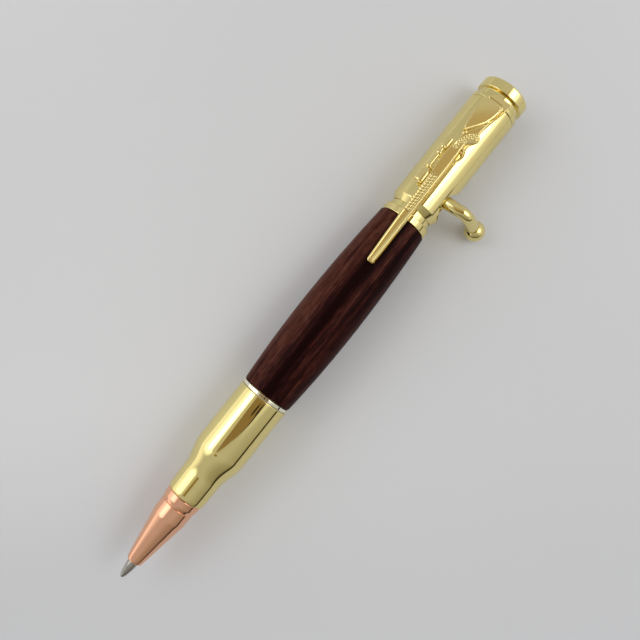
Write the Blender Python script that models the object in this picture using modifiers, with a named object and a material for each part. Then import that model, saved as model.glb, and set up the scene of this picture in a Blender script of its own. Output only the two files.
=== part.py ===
"""A bolt-action ballpoint pen with a turned wood barrel, a cartridge-shaped front and a clip in the shape of a
scoped rifle.

The pen lies along X: the flat end of its cap is at X = 0, facing +X, and the writing tip points to -X. The clip is
on top (+Z) and the bolt handle is on the -Y side. The refill is out and the bolt is locked.
"""

import math

import bmesh
import bpy
from mathutils import Matrix, Vector

MM = 0.001

# Clearances
SEAM = 0.1 * MM  # between two pieces that meet end to end
FIT = 0.1 * MM  # radial, between a turned piece and the bore that it sits in
REST = 0.3 * MM  # under a piece that rests on another
OVERRUN = 1.0 * MM  # how far a cutter passes the piece that it cuts
SNAP = 0.0001 * MM

# How round each piece is, as sides to the full circle
OUTER_STEPS = 40
INNER_STEPS = 24

# Refill, a standard size that the pen is built round
REFILL_LENGTH = 98.0 * MM
REFILL_RADIUS = 2.95 * MM
REFILL_WALL = 0.35 * MM
REFILL_SHOULDER_DISTANCE = 22.0 * MM  # from the tip to the step that the spring pushes on
REFILL_TAPER_LENGTH = 2.0 * MM
REFILL_SPIGOT_LENGTH = 1.9 * MM
NOSE_RADIUS = 1.22 * MM
NOSE_CONE_RADIUS = 1.12 * MM
NOSE_CONE_DISTANCE = 3.0 * MM
NOSE_HALF_RADIUS = 0.76 * MM
NOSE_HALF_DISTANCE = 1.1 * MM
NOSE_LENGTH = 12.0 * MM
NECK_RADIUS = NOSE_RADIUS + 0.33 * MM
REFILL_SPIGOT_RADIUS = NECK_RADIUS - 0.7 * MM
BALL_RADIUS = 0.42 * MM
BALL_CLEARANCE = 0.05 * MM
BALL_SHOWING = 0.5 * MM
NOSE_LIP_RADIUS = BALL_RADIUS + 0.14 * MM
SOCKET_POINTS = 4
BALL_STEPS = 12
END_PLUG_LENGTH = 8.0 * MM
END_PLUG_RADIUS = REFILL_RADIUS - 0.1 * MM
END_PLUG_STEM_LENGTH = 2.0 * MM
END_NOTCH_WIDTH = 0.9 * MM
END_NOTCH_DEPTH = 1.6 * MM
END_NOTCHES = 2

# Return spring, round the refill's neck
SPRING_WIRE_RADIUS = 0.2 * MM
SPRING_RADIUS = NECK_RADIUS + SPRING_WIRE_RADIUS + 0.23 * MM
SPRING_TURNS = 9
SPRING_POINTS_PER_TURN = 10
REFILL_SHOULDER_RADIUS = SPRING_RADIUS + SPRING_WIRE_RADIUS + FIT

# Walls, from the refill outwards
CUP_WALL = 0.65 * MM
COUPLER_WALL = 1.0 * MM
SPIGOT_WALL = 0.55 * MM
TUBE_WALL = 0.4 * MM
HOUSING_WALL = 1.15 * MM
CARTRIDGE_WALL = 1.14 * MM
CARTRIDGE_NECK_WALL = 0.68 * MM
NIB_SPIGOT_WALL = 0.8 * MM
WOOD_FRONT_WALL = 1.25 * MM
WOOD_BACK_WALL = 1.02 * MM
WOOD_SWELL = 0.88 * MM  # how far the middle stands over the front end
CUP_RADIUS = END_PLUG_RADIUS + FIT + CUP_WALL
UPPER_COUPLER_BORE = CUP_RADIUS + FIT
UPPER_THREAD_RADIUS = UPPER_COUPLER_BORE + COUPLER_WALL
SPIGOT_RADIUS = UPPER_COUPLER_BORE + SPIGOT_WALL
TUBE_BORE = SPIGOT_RADIUS + FIT
TUBE_RADIUS = TUBE_BORE + TUBE_WALL
WOOD_BORE = TUBE_RADIUS + FIT
WOOD_FRONT_RADIUS = WOOD_BORE + WOOD_FRONT_WALL
WOOD_BACK_RADIUS = WOOD_BORE + WOOD_BACK_WALL
WOOD_SWELL_RADIUS = WOOD_FRONT_RADIUS + WOOD_SWELL
HOUSING_BORE = UPPER_THREAD_RADIUS + FIT
HOUSING_RADIUS = HOUSING_BORE + HOUSING_WALL
LOWER_COUPLER_BORE = REFILL_RADIUS + 0.25 * MM
LOWER_THREAD_RADIUS = TUBE_RADIUS + 0.15 * MM
CARTRIDGE_BORE = LOWER_THREAD_RADIUS + FIT
CARTRIDGE_RADIUS = CARTRIDGE_BORE + CARTRIDGE_WALL
CARTRIDGE_NECK_BORE = LOWER_COUPLER_BORE + NIB_SPIGOT_WALL + FIT
CARTRIDGE_NECK_RADIUS = CARTRIDGE_NECK_BORE + CARTRIDGE_NECK_WALL

# Lengths of the pieces that show, from the cap to the tip
RIM_LENGTH = 2.45 * MM
GROOVE_LENGTH = 1.6 * MM
CLIP_RING_LENGTH = 1.4 * MM
HOUSING_LENGTH = 29.3 * MM
NECK_LENGTH = 1.3 * MM
UPPER_RING_LENGTH = 2.0 * MM
WOOD_OVER_REFILL = 3.75 * MM  # how far the wood reaches back past the refill's end
LOWER_RING_LENGTH = 1.3 * MM
CARTRIDGE_LENGTH = 28.05 * MM
NIB_LENGTH = 18.8 * MM
REFILL_REACH = 4.45 * MM
FRONT_LENGTH = REFILL_REACH + NIB_LENGTH + CARTRIDGE_LENGTH + LOWER_RING_LENGTH
WOOD_LENGTH = REFILL_LENGTH + WOOD_OVER_REFILL - FRONT_LENGTH

# Where each of them starts, counted back from the cap's flat end
RIM_FRONT = -RIM_LENGTH
GROOVE_FRONT = RIM_FRONT - GROOVE_LENGTH
CLIP_RING_FRONT = GROOVE_FRONT - CLIP_RING_LENGTH
HOUSING_FRONT = CLIP_RING_FRONT - HOUSING_LENGTH
NECK_FRONT = HOUSING_FRONT - NECK_LENGTH
WOOD_BACK = NECK_FRONT - UPPER_RING_LENGTH
WOOD_FRONT = WOOD_BACK - WOOD_LENGTH
CARTRIDGE_BACK = WOOD_FRONT - LOWER_RING_LENGTH
CARTRIDGE_FRONT = CARTRIDGE_BACK - CARTRIDGE_LENGTH
NIB_FRONT = CARTRIDGE_FRONT - NIB_LENGTH
TIP = NIB_FRONT - REFILL_REACH

# Cap
CAP_RADIUS = HOUSING_RADIUS - 0.05 * MM
CAP_CORE_RADIUS = CAP_RADIUS - 0.8 * MM
CAP_EDGE = 0.3 * MM
CAP_STUD_RADIUS = 2.5 * MM
CAP_STUD_LENGTH = 6.0 * MM

# Bolt housing
HOUSING_MOUTH_RADIUS = HOUSING_BORE + 0.4 * MM
HOUSING_FLARE_LENGTH = 1.5 * MM
HOUSING_PLUG_LENGTH = 6.0 * MM

# Wood
WOOD_SWELL_SHARE = 0.4435  # where it is thickest, along its length from the front
WOOD_SWELL_DISTANCE = WOOD_SWELL_SHARE * WOOD_LENGTH
WOOD_ARC_POINTS = 7

# Rings
RING_EDGE = 0.15 * MM
CLIP_RING_BEVEL = 0.4 * MM
LOWER_RING_RADIUS = CARTRIDGE_RADIUS - 0.04 * MM
UPPER_RING_RADIUS = WOOD_BACK_RADIUS

# Couplers
SPIGOT_LENGTH = 7.0 * MM
LOWER_THREAD_LENGTH = 8.6 * MM
UPPER_THREAD_LENGTH = 3.1 * MM
UPPER_NECK_RADIUS = UPPER_THREAD_RADIUS + 0.4 * MM

# Cartridge-shaped front
CARTRIDGE_MOUTH_EDGE = 0.5 * MM
CARTRIDGE_MOUTH_RADIUS = CARTRIDGE_NECK_RADIUS - 0.28 * MM
CARTRIDGE_NECK_LENGTH = 5.9 * MM
CARTRIDGE_NECK_WALL_LENGTH = 6.6 * MM
SHOULDER_LENGTH = 6.9 * MM
SHOULDER_POINTS = 7

# Nib
NIB_RADIUS = CARTRIDGE_NECK_BORE - FIT
NIB_RING_RADIUS = NIB_RADIUS + 0.4 * MM
NIB_MOUTH_BORE = NOSE_RADIUS + 0.18 * MM
NIB_FACE_RADIUS = NIB_MOUTH_BORE + 0.2 * MM
NIB_SHOULDER_RADIUS = NIB_FACE_RADIUS + 0.38 * MM
NIB_ROUNDING = 0.6 * MM
NIB_CONE_LENGTH = 12.6 * MM
NIB_RING_LENGTH = 2.8 * MM
NIB_GROOVE_DEPTH = 0.2 * MM
NIB_GROOVE_WIDTH = 0.35 * MM
NIB_SPIGOT_LENGTH = 5.4 * MM
NIB_MOUTH_LENGTH = 6.0 * MM
NIB_POCKET_BORE = SPRING_RADIUS + SPRING_WIRE_RADIUS + 0.22 * MM
NIB_POCKET_LENGTH = 7.3 * MM
NIB_FLARE_LENGTH = 1.5 * MM

# Bolt
CUP_RECESS_DEPTH = 2.0 * MM
CUP_FLOOR = 3.3 * MM
PLUNGER_LENGTH = 13.8 * MM
HANDLE_DISTANCE = 6.35 * MM  # from the housing's mouth to the handle
HANDLE_ANGLE = math.radians(25.0)  # above the -Y side
HANDLE_RADIUS = 1.45 * MM
HANDLE_ROOT_RADIUS = 1.2 * MM
HANDLE_ROOT_DEPTH = 2.6 * MM
HANDLE_STAND_OFF = 0.25 * MM
HANDLE_SWEEP_RADIUS = 14.05 * MM  # how far out the handle's knob is
HANDLE_STEPS_PER_STRETCH = 4
KNOB_RADIUS = 2.45 * MM
KNOB_DROP = 3.85 * MM
KNOB_SEGMENTS = 16
KNOB_RINGS = 10
BOLT_TRAVEL = 5.5 * MM
BOLT_THROW = math.radians(65.0)
TRACK_CLEARANCE = 0.25 * MM
TRACK_END_POINTS = 6
POCKET_AHEAD = 4.4 * MM
POCKET_BEHIND = 1.8 * MM
POCKET_ABOVE = 1.97 * MM
POCKET_BELOW = 5.6 * MM
POCKET_BEHIND_BELOW = 1.5 * MM
POCKET_FRONT_CORNER = 3.6 * MM
POCKET_BACK_CORNER = 1.7 * MM
POCKET_CORNER_POINTS = 5
CUTTER_STEP = math.radians(16.0)
# The handle's bends after it leaves the housing, as shares of its sweep: outwards, upwards
HANDLE_BEND_SHARES = ((0.53, 0.225), (0.64, 0.235), (0.74, 0.195), (0.825, 0.085), (0.895, -0.05))

# Clip
CLIP_LENGTH = 45.7 * MM
CLIP_WIDTH = 7.0 * MM
CLIP_THICKNESS = 1.2 * MM
CLIP_BACK = -4.2 * MM
CLIP_HINGE_HEIGHT = 6.9 * MM
CLIP_BAND_STEPS = 72
CLIP_RELIEF = 0.35 * MM
MUZZLE_SWELL = WOOD_SWELL_RADIUS - WOOD_BACK_RADIUS
SCOPE_TUBE_RADIUS = 0.5 * MM
SCOPE_BELL_RADIUS = 0.95 * MM
SCOPE_EYEPIECE_RADIUS = 0.75 * MM
SCOPE_RING_RADIUS = 0.8 * MM
SCOPE_STEPS = 14
GUARD_RADIUS = 1.15 * MM
GUARD_HOLE_RADIUS = 0.65 * MM
GUARD_STEPS = 16
# Outlines seen from above. Along: shares of the clip's length from its back end. Across: shares of its width.
RIFLE_OUTLINE_SHARES = (
    (0.994, -0.031), (1.0, 0.02), (1.0, 0.165), (0.994, 0.217), (0.738, 0.315), (0.686, 0.336), (0.553, 0.343),
    (0.501, 0.365), (0.472, 0.400), (0.325, 0.396), (0.306, 0.357), (0.268, 0.314), (0.240, 0.301),
    (0.230, 0.363), (0.207, 0.413), (0.169, 0.475), (0.121, 0.524), (0.074, 0.568), (0.036, 0.595),
    (0.004, 0.595), (0.0, 0.55), (0.0, -0.34), (0.004, -0.383), (0.040, -0.433), (0.097, -0.352), (0.145, -0.275),
    (0.188, -0.207), (0.204, -0.225), (0.218, -0.260), (0.233, -0.272), (0.249, -0.216), (0.263, -0.114),
    (0.282, -0.049), (0.301, -0.027), (0.501, -0.022), (0.738, -0.038),
)
CHEEK_OUTLINE_SHARES = (
    (0.200, 0.325), (0.159, 0.428), (0.112, 0.484), (0.045, 0.537), (0.040, -0.213), (0.074, -0.194),
    (0.121, -0.101), (0.164, 0.035), (0.198, 0.211),
)
BARREL_GROOVE_SHARES = ((0.980, 0.015), (0.980, 0.165), (0.738, 0.262), (0.700, 0.270), (0.700, 0.015))
GUARD_PLACE_SHARES = (0.332, -0.045)
# The scope, as shares along the clip and its place across it
SCOPE_ACROSS_SHARE = 0.535
SCOPE_STATION_SHARES = {
    "bell_front": 0.562,
    "bell_back": 0.505,
    "tube_front": 0.488,
    "front_ring": 0.478,
    "rear_ring": 0.382,
    "turret": 0.352,
    "eyepiece_front": 0.338,
    "eyepiece_back": 0.292,
}
SCOPE_MOUNT_SHARE = 0.0098  # half of each mount's length

GOLD = ((0.72, 0.60, 0.26), 0.16, 1.0)
DEEP_GOLD = ((0.66, 0.47, 0.17), 0.2, 1.0)
COPPER = ((0.80, 0.48, 0.34), 0.18, 1.0)
BRASS = ((0.66, 0.50, 0.22), 0.35, 1.0)
STEEL = ((0.50, 0.49, 0.47), 0.25, 1.0)
CARBIDE = ((0.16, 0.16, 0.17), 0.2, 1.0)
WOOD = ((0.085, 0.028, 0.018), 0.32, 0.0)
PLASTIC = ((0.05, 0.05, 0.055), 0.4, 0.0)


def clear_scene():
    """Empties the scene and makes the collections for the pen and for its cutters."""
    for old in list(bpy.data.objects):
        bpy.data.objects.remove(old, do_unlink=True)
    pen = bpy.data.collections.new("bolt_action_pen")
    cutters = bpy.data.collections.new("cutters")
    bpy.context.scene.collection.children.link(pen)
    bpy.context.scene.collection.children.link(cutters)
    return pen, cutters


PEN, CUTTERS = clear_scene()


def finish_material(name, finish):
    """A material of the piece's own, from its colour, roughness and metallic value."""
    colour, roughness, metallic = finish
    material = bpy.data.materials.new(name + "_finish")
    material.use_nodes = True
    shader = material.node_tree.nodes["Principled BSDF"]
    shader.inputs["Base Color"].default_value = (*colour, 1.0)
    shader.inputs["Roughness"].default_value = roughness
    shader.inputs["Metallic"].default_value = metallic
    material.diffuse_color = (*colour, 1.0)
    return material


def as_cutter(piece):
    """Puts an object among the cutters, which are guides and not pieces of the pen."""
    for collection in list(piece.users_collection):
        collection.objects.unlink(piece)
    CUTTERS.objects.link(piece)
    piece.hide_render = True
    piece.display_type = "WIRE"
    return piece


def as_piece(piece, finish):
    """Gives an object its finish and rounds its shading up to the real edges."""
    piece.data.materials.clear()
    piece.data.materials.append(finish_material(piece.name, finish))
    piece.data.shade_smooth()
    piece.data.set_sharp_from_angle(angle=math.radians(30.0))
    return piece


def evaluated_mesh(source, name):
    """The mesh that an object has after its modifiers, or that a curve has with its bevel, with doubles merged."""
    mesh = bpy.data.meshes.new_from_object(source.evaluated_get(bpy.context.evaluated_depsgraph_get()))
    mesh.name = name
    points = bmesh.new()
    points.from_mesh(mesh)
    bmesh.ops.remove_doubles(points, verts=points.verts, dist=0.001 * MM)
    points.to_mesh(mesh)
    points.free()
    return mesh


def baked(source, name):
    """Replaces an object by a mesh object of the same place and shape."""
    bpy.context.view_layer.update()
    piece = bpy.data.objects.new(name, evaluated_mesh(source, name))
    piece.matrix_world = source.matrix_world
    PEN.objects.link(piece)
    bpy.data.objects.remove(source, do_unlink=True)
    return piece


def boolean(piece, other, operation="DIFFERENCE"):
    """Adds a live Boolean with a cutter, or with a shape to join."""
    modifier = piece.modifiers.new(other.name, "BOOLEAN")
    modifier.operation = operation
    modifier.object = other


def turned(name, outline, steps=OUTER_STEPS):
    """A shape turned about the pen's axis from an outline of (place along X, radius) points.

    An outline that starts and ends on the axis makes a solid; any other is a closed ring section.
    """
    area = sum(a[0] * b[1] - b[0] * a[1] for a, b in zip(outline, outline[1:] + outline[:1]))
    points = outline if area > 0 else outline[::-1]
    on_axis = points[0][1] == 0 and points[-1][1] == 0
    count = len(points)
    edges = [(i, (i + 1) % count) for i in range(count - 1 if on_axis else count)]
    start = points[0][0]
    mesh = bpy.data.meshes.new(name)
    mesh.from_pydata([(x - start, 0, r) for x, r in points], edges, [])
    source = bpy.data.objects.new(name + "_outline", mesh)
    source.location = (start, 0, 0)
    PEN.objects.link(source)
    screw = source.modifiers.new("turn", "SCREW")
    screw.axis = "X"
    screw.angle = math.tau
    screw.steps = steps
    screw.render_steps = steps
    screw.use_merge_vertices = True
    screw.merge_threshold = 0.001 * MM
    return baked(source, name)


def sleeve(name, front, back, radius, bore, steps=OUTER_STEPS, edge=0.0):
    """A plain turned sleeve, with a small bevel on its two outer edges where one is asked for."""
    outline = [(front, bore), (front, radius - edge)]
    if edge:
        outline += [(front + edge, radius), (back - edge, radius)]
    outline += [(back, radius - edge), (back, bore)]
    if not edge:
        outline = [(front, bore), (front, radius), (back, radius), (back, bore)]
    return turned(name, outline, steps)


def solid_rod(name, front, back, radius, steps=OUTER_STEPS):
    """A plain turned rod."""
    return turned(name, [(front, 0), (front, radius), (back, radius), (back, 0)], steps)


def prism(name, outline, low, high):
    """A flat outline of (x, y) points, made thick from one height to another."""
    curve = bpy.data.curves.new(name, "CURVE")
    curve.dimensions = "2D"
    curve.fill_mode = "BOTH"
    curve.extrude = (high - low) / 2
    spline = curve.splines.new("POLY")
    spline.points.add(len(outline) - 1)
    for point, (x, y) in zip(spline.points, outline):
        point.co = (x, y, 0, 1)
    spline.use_cyclic_u = True
    source = bpy.data.objects.new(name + "_curve", curve)
    source.location = (0, 0, (low + high) / 2)
    PEN.objects.link(source)
    return baked(source, name)


def tube(name, points, radius, resolution=2):
    """A round wire or rod along a list of points, with its ends closed."""
    curve = bpy.data.curves.new(name, "CURVE")
    curve.dimensions = "3D"
    curve.bevel_depth = radius
    curve.bevel_resolution = resolution
    curve.use_fill_caps = True
    spline = curve.splines.new("POLY")
    spline.points.add(len(points) - 1)
    for point, place in zip(spline.points, points):
        point.co = (*place, 1)
    source = bpy.data.objects.new(name + "_curve", curve)
    PEN.objects.link(source)
    return baked(source, name)


def radial_rod(name, x, angle, inner, outer, radius, steps):
    """A rod that stands out from the pen's axis, at an angle above the -Y side."""
    outwards = Vector((0, -math.cos(angle), math.sin(angle)))
    shape = bmesh.new()
    bmesh.ops.create_cone(
        shape, cap_ends=True, segments=steps, radius1=radius, radius2=radius, depth=outer - inner
    )
    turn = outwards.to_track_quat("Z", "X").to_matrix().to_4x4()
    shift = Matrix.Translation(Vector((x, 0, 0)) + outwards * (inner + outer) / 2)
    bmesh.ops.transform(shape, matrix=shift @ turn, verts=shape.verts)
    mesh = bpy.data.meshes.new(name)
    shape.to_mesh(mesh)
    shape.free()
    piece = bpy.data.objects.new(name, mesh)
    PEN.objects.link(piece)
    return piece


def smooth_route(points, steps):
    """Points on a smooth curve through the given ones, with so many steps to each stretch."""
    ends = [points[0] * 2 - points[1]] + points + [points[-1] * 2 - points[-2]]
    route = []
    for before, start, end, after in zip(ends, ends[1:], ends[2:], ends[3:]):
        for step in range(steps):
            t = step / steps
            route.append(
                0.5 * (2 * start + (end - before) * t + (2 * before - 5 * start + 4 * end - after) * t**2
                       + (3 * start - before - 3 * end + after) * t**3)
            )
    return route + [points[-1]]


def eased(share):
    """A share from 0 to 1 that starts and ends gently."""
    return share * share * (3 - 2 * share)


def make_nib():
    """The copper nose: a cone, a plain stretch, a fine groove and a ring, with a spigot behind them."""
    cone_back = NIB_FRONT + NIB_ROUNDING + NIB_CONE_LENGTH
    ring_front = CARTRIDGE_FRONT - NIB_RING_LENGTH
    pocket_front = NIB_FRONT + NIB_MOUTH_LENGTH
    pocket_back = pocket_front + NIB_POCKET_LENGTH
    spigot_back = CARTRIDGE_FRONT + NIB_SPIGOT_LENGTH
    spigot_radius = CARTRIDGE_NECK_BORE - FIT
    groove_floor = NIB_RADIUS - NIB_GROOVE_DEPTH
    outline = [
        (NIB_FRONT, NIB_MOUTH_BORE),
        (NIB_FRONT, NIB_FACE_RADIUS),
        (NIB_FRONT + NIB_ROUNDING / 3, (NIB_FACE_RADIUS + 2 * NIB_SHOULDER_RADIUS) / 3),
        (NIB_FRONT + NIB_ROUNDING, NIB_SHOULDER_RADIUS),
        (cone_back, NIB_RADIUS),
        (ring_front - 2 * NIB_GROOVE_WIDTH, NIB_RADIUS),
        (ring_front - 1.5 * NIB_GROOVE_WIDTH, groove_floor),
        (ring_front - NIB_GROOVE_WIDTH, NIB_RADIUS),
        (ring_front, NIB_RING_RADIUS),
        (CARTRIDGE_FRONT - SEAM - RING_EDGE, NIB_RING_RADIUS),
        (CARTRIDGE_FRONT - SEAM, NIB_RING_RADIUS - RING_EDGE),
        (CARTRIDGE_FRONT - SEAM, spigot_radius),
        (spigot_back, spigot_radius),
        (spigot_back, LOWER_COUPLER_BORE),
        (pocket_back + NIB_FLARE_LENGTH, LOWER_COUPLER_BORE),
        (pocket_back, NIB_POCKET_BORE),
        (pocket_front, NIB_POCKET_BORE),
        (pocket_front, NIB_MOUTH_BORE),
    ]
    return as_piece(turned("nib_cone", outline), COPPER)


def make_cartridge():
    """The gold shell with a bottle neck."""
    shoulder_front = CARTRIDGE_FRONT + CARTRIDGE_NECK_LENGTH
    rise = CARTRIDGE_RADIUS - CARTRIDGE_NECK_RADIUS
    back = CARTRIDGE_BACK - SEAM
    bore = CARTRIDGE_BORE
    outline = [
        (CARTRIDGE_FRONT, CARTRIDGE_NECK_BORE),
        (CARTRIDGE_FRONT, CARTRIDGE_MOUTH_RADIUS),
        (CARTRIDGE_FRONT + CARTRIDGE_MOUTH_EDGE, (CARTRIDGE_MOUTH_RADIUS + CARTRIDGE_NECK_RADIUS) / 2),
    ]
    for step in range(SHOULDER_POINTS + 1):
        share = step / SHOULDER_POINTS
        outline.append((shoulder_front + share * SHOULDER_LENGTH, CARTRIDGE_NECK_RADIUS + eased(share) * rise))
    outline += [
        (back - RING_EDGE, CARTRIDGE_RADIUS),
        (back, CARTRIDGE_RADIUS - RING_EDGE),
        (back, bore),
        (shoulder_front + SHOULDER_LENGTH, bore),
        (CARTRIDGE_FRONT + CARTRIDGE_NECK_WALL_LENGTH, CARTRIDGE_NECK_BORE),
    ]
    return as_piece(turned("cartridge_shell", outline), GOLD)


def make_barrel():
    """The wood, turned to a long swell, the brass tube inside it and the two rings at its ends."""
    tail = WOOD_LENGTH - WOOD_SWELL_DISTANCE
    outline = [(WOOD_FRONT, WOOD_BORE)]
    for step in range(WOOD_ARC_POINTS):
        share = 1 - step / WOOD_ARC_POINTS
        drop = (WOOD_SWELL_RADIUS - WOOD_FRONT_RADIUS) * share**2
        outline.append((WOOD_FRONT + (1 - share) * WOOD_SWELL_DISTANCE, WOOD_SWELL_RADIUS - drop))
    for step in range(WOOD_ARC_POINTS + 1):
        share = step / WOOD_ARC_POINTS
        drop = (WOOD_SWELL_RADIUS - WOOD_BACK_RADIUS) * share**2
        along = WOOD_FRONT + WOOD_SWELL_DISTANCE + share * tail
        outline.append((along - SEAM if share == 1 else along, WOOD_SWELL_RADIUS - drop))
    outline.append((WOOD_BACK - SEAM, WOOD_BORE))
    wood = as_piece(turned("wood_barrel", outline), WOOD)
    brass_tube = sleeve("barrel_tube", WOOD_FRONT, WOOD_BACK - SEAM, TUBE_RADIUS, TUBE_BORE, INNER_STEPS)
    lower = sleeve(
        "lower_trim_ring", CARTRIDGE_BACK, WOOD_FRONT - SEAM, LOWER_RING_RADIUS, CARTRIDGE_BORE, edge=RING_EDGE
    )
    upper = sleeve(
        "upper_trim_ring", WOOD_BACK, NECK_FRONT - SEAM, UPPER_RING_RADIUS, UPPER_NECK_RADIUS + FIT, edge=RING_EDGE
    )
    return [wood, as_piece(brass_tube, BRASS), as_piece(lower, GOLD), as_piece(upper, GOLD)]


def make_couplers():
    """The two threaded brass couplers that are pressed into the ends of the barrel's tube."""
    front = CARTRIDGE_BACK - LOWER_THREAD_LENGTH
    shoulder = WOOD_FRONT - SEAM
    back = WOOD_FRONT + SPIGOT_LENGTH
    lower = turned("lower_coupler", [
        (front, LOWER_COUPLER_BORE), (front, LOWER_THREAD_RADIUS), (shoulder, LOWER_THREAD_RADIUS),
        (shoulder, SPIGOT_RADIUS), (back, SPIGOT_RADIUS), (back, LOWER_COUPLER_BORE),
    ], INNER_STEPS)
    front = WOOD_BACK - SPIGOT_LENGTH
    back = HOUSING_FRONT + UPPER_THREAD_LENGTH
    neck_back = HOUSING_FRONT - SEAM
    upper = turned("upper_coupler", [
        (front, UPPER_COUPLER_BORE), (front, SPIGOT_RADIUS), (WOOD_BACK, SPIGOT_RADIUS),
        (WOOD_BACK, UPPER_NECK_RADIUS), (neck_back, UPPER_NECK_RADIUS), (neck_back, UPPER_THREAD_RADIUS),
        (back, UPPER_THREAD_RADIUS), (back, UPPER_COUPLER_BORE),
    ])
    return [as_piece(lower, BRASS), as_piece(upper, GOLD)]


def wrapped_cutter(name, outline, inner, outer):
    """A cutter for an opening in a round wall, from its outline in (x, angle above the -Y side) points."""
    shape = bmesh.new()
    face = shape.faces.new([shape.verts.new((x, angle, 0)) for x, angle in outline])
    face.normal_update()
    if face.normal.z < 0:
        face.normal_flip()
    # Cut at even angles first, so that no side of the cutter runs straight through the round wall.
    lowest = min(angle for _, angle in outline)
    highest = max(angle for _, angle in outline)
    cuts = math.ceil((highest - lowest) / CUTTER_STEP)
    for step in range(1, cuts):
        angle = lowest + (highest - lowest) * step / cuts
        everything = list(shape.verts) + list(shape.edges) + list(shape.faces)
        bmesh.ops.bisect_plane(shape, geom=everything, dist=SNAP, plane_co=(0, angle, 0), plane_no=(0, 1, 0))
    bmesh.ops.triangulate(shape, faces=list(shape.faces))
    floor = list(shape.faces)
    grown = bmesh.ops.extrude_face_region(shape, geom=floor, use_keep_orig=True)
    top = [item for item in grown["geom"] if isinstance(item, bmesh.types.BMVert)]
    for vertex in top:
        vertex.co.z = 1
    for vertex in shape.verts:
        x, angle, level = vertex.co
        radius = inner + (outer - inner) * level
        vertex.co = (x, -radius * math.cos(angle), radius * math.sin(angle))
    bmesh.ops.recalc_face_normals(shape, faces=shape.faces)
    mesh = bpy.data.meshes.new(name)
    shape.to_mesh(mesh)
    shape.free()
    cutter = bpy.data.objects.new(name, mesh)
    PEN.objects.link(cutter)
    return as_cutter(cutter)


def track_outline(handle_x):
    """The slanted track that the handle's root runs back along, with half a turn round each end."""
    # The root is straight and the wall is round, so the track is as wide as the root where the wall is narrowest.
    half_width = (HANDLE_ROOT_RADIUS + TRACK_CLEARANCE) * HOUSING_RADIUS / HOUSING_BORE
    run = Vector((BOLT_TRAVEL, -BOLT_THROW * HOUSING_RADIUS))
    along = run.normalized()
    across = Vector((-along.y, along.x))
    points = []
    for end, turn in ((run, math.pi / 2), (Vector((0, 0)), 1.5 * math.pi)):
        for step in range(TRACK_END_POINTS + 1):
            angle = turn - math.pi * step / TRACK_END_POINTS
            points.append(end + half_width * (math.cos(angle) * along + math.sin(angle) * across))
    return [(handle_x + p.x, HANDLE_ANGLE + p.y / HOUSING_RADIUS) for p in points]


def pocket_outline(handle_x):
    """The pocket that the handle locks in, with its two upper corners rounded."""
    front = handle_x - POCKET_AHEAD
    back = handle_x + POCKET_BEHIND
    points = [(back, -POCKET_BEHIND_BELOW), (front + POCKET_FRONT_CORNER, -POCKET_BELOW), (front, -POCKET_BELOW)]
    corners = (
        (front + POCKET_FRONT_CORNER, POCKET_FRONT_CORNER, math.pi),
        (back - POCKET_BACK_CORNER, POCKET_BACK_CORNER, math.pi / 2),
    )
    for centre, radius, first in corners:
        for step in range(POCKET_CORNER_POINTS + 1):
            angle = first - math.pi / 2 * step / POCKET_CORNER_POINTS
            points.append((centre + radius * math.cos(angle), POCKET_ABOVE - radius + radius * math.sin(angle)))
    return [(x, HANDLE_ANGLE + height / HOUSING_RADIUS) for x, height in points]


def make_housing(handle_x):
    """The tube that the bolt runs in, flared at its mouth, with the bolt's track and pocket cut through its wall."""
    back = CLIP_RING_FRONT - SEAM
    housing = turned("bolt_housing", [
        (HOUSING_FRONT, HOUSING_BORE),
        (HOUSING_FRONT, HOUSING_MOUTH_RADIUS),
        (HOUSING_FRONT + HOUSING_FLARE_LENGTH, HOUSING_RADIUS),
        (back - RING_EDGE, HOUSING_RADIUS),
        (back, HOUSING_RADIUS - RING_EDGE),
        (back, HOUSING_BORE),
    ])
    as_piece(housing, GOLD)
    inner = HOUSING_BORE - OVERRUN
    outer = HOUSING_RADIUS + 2 * OVERRUN
    boolean(housing, wrapped_cutter("track_cutter", track_outline(handle_x), inner, outer))
    boolean(housing, wrapped_cutter("pocket_cutter", pocket_outline(handle_x), inner, outer))
    plug_front = back - HOUSING_PLUG_LENGTH
    plug = sleeve(
        "housing_plug", plug_front, back, HOUSING_BORE - FIT, CAP_STUD_RADIUS + FIT, INNER_STEPS
    )
    return [housing, as_piece(plug, BRASS)]


def make_cap():
    """The end cap, with a groove, a rim and a stud that clamps the clip's ring, and the ring itself."""
    back = GROOVE_FRONT - SEAM
    ring = turned("clip_ring", [
        (CLIP_RING_FRONT, CAP_STUD_RADIUS + FIT),
        (CLIP_RING_FRONT, HOUSING_RADIUS - RING_EDGE),
        (CLIP_RING_FRONT + RING_EDGE, HOUSING_RADIUS),
        (back - CLIP_RING_BEVEL, HOUSING_RADIUS),
        (back, HOUSING_RADIUS - CLIP_RING_BEVEL),
        (back, CAP_STUD_RADIUS + FIT),
    ])
    cap = turned("end_cap", [
        (GROOVE_FRONT - CAP_STUD_LENGTH, 0),
        (GROOVE_FRONT - CAP_STUD_LENGTH, CAP_STUD_RADIUS),
        (GROOVE_FRONT, CAP_STUD_RADIUS),
        (GROOVE_FRONT, CAP_CORE_RADIUS),
        (RIM_FRONT, CAP_CORE_RADIUS),
        (RIM_FRONT, CAP_RADIUS - CAP_EDGE),
        (RIM_FRONT + CAP_EDGE, CAP_RADIUS),
        (-CAP_EDGE, CAP_RADIUS),
        (0, CAP_RADIUS - CAP_EDGE),
        (0, 0),
    ])
    return [as_piece(ring, GOLD), as_piece(cap, GOLD)]


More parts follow.
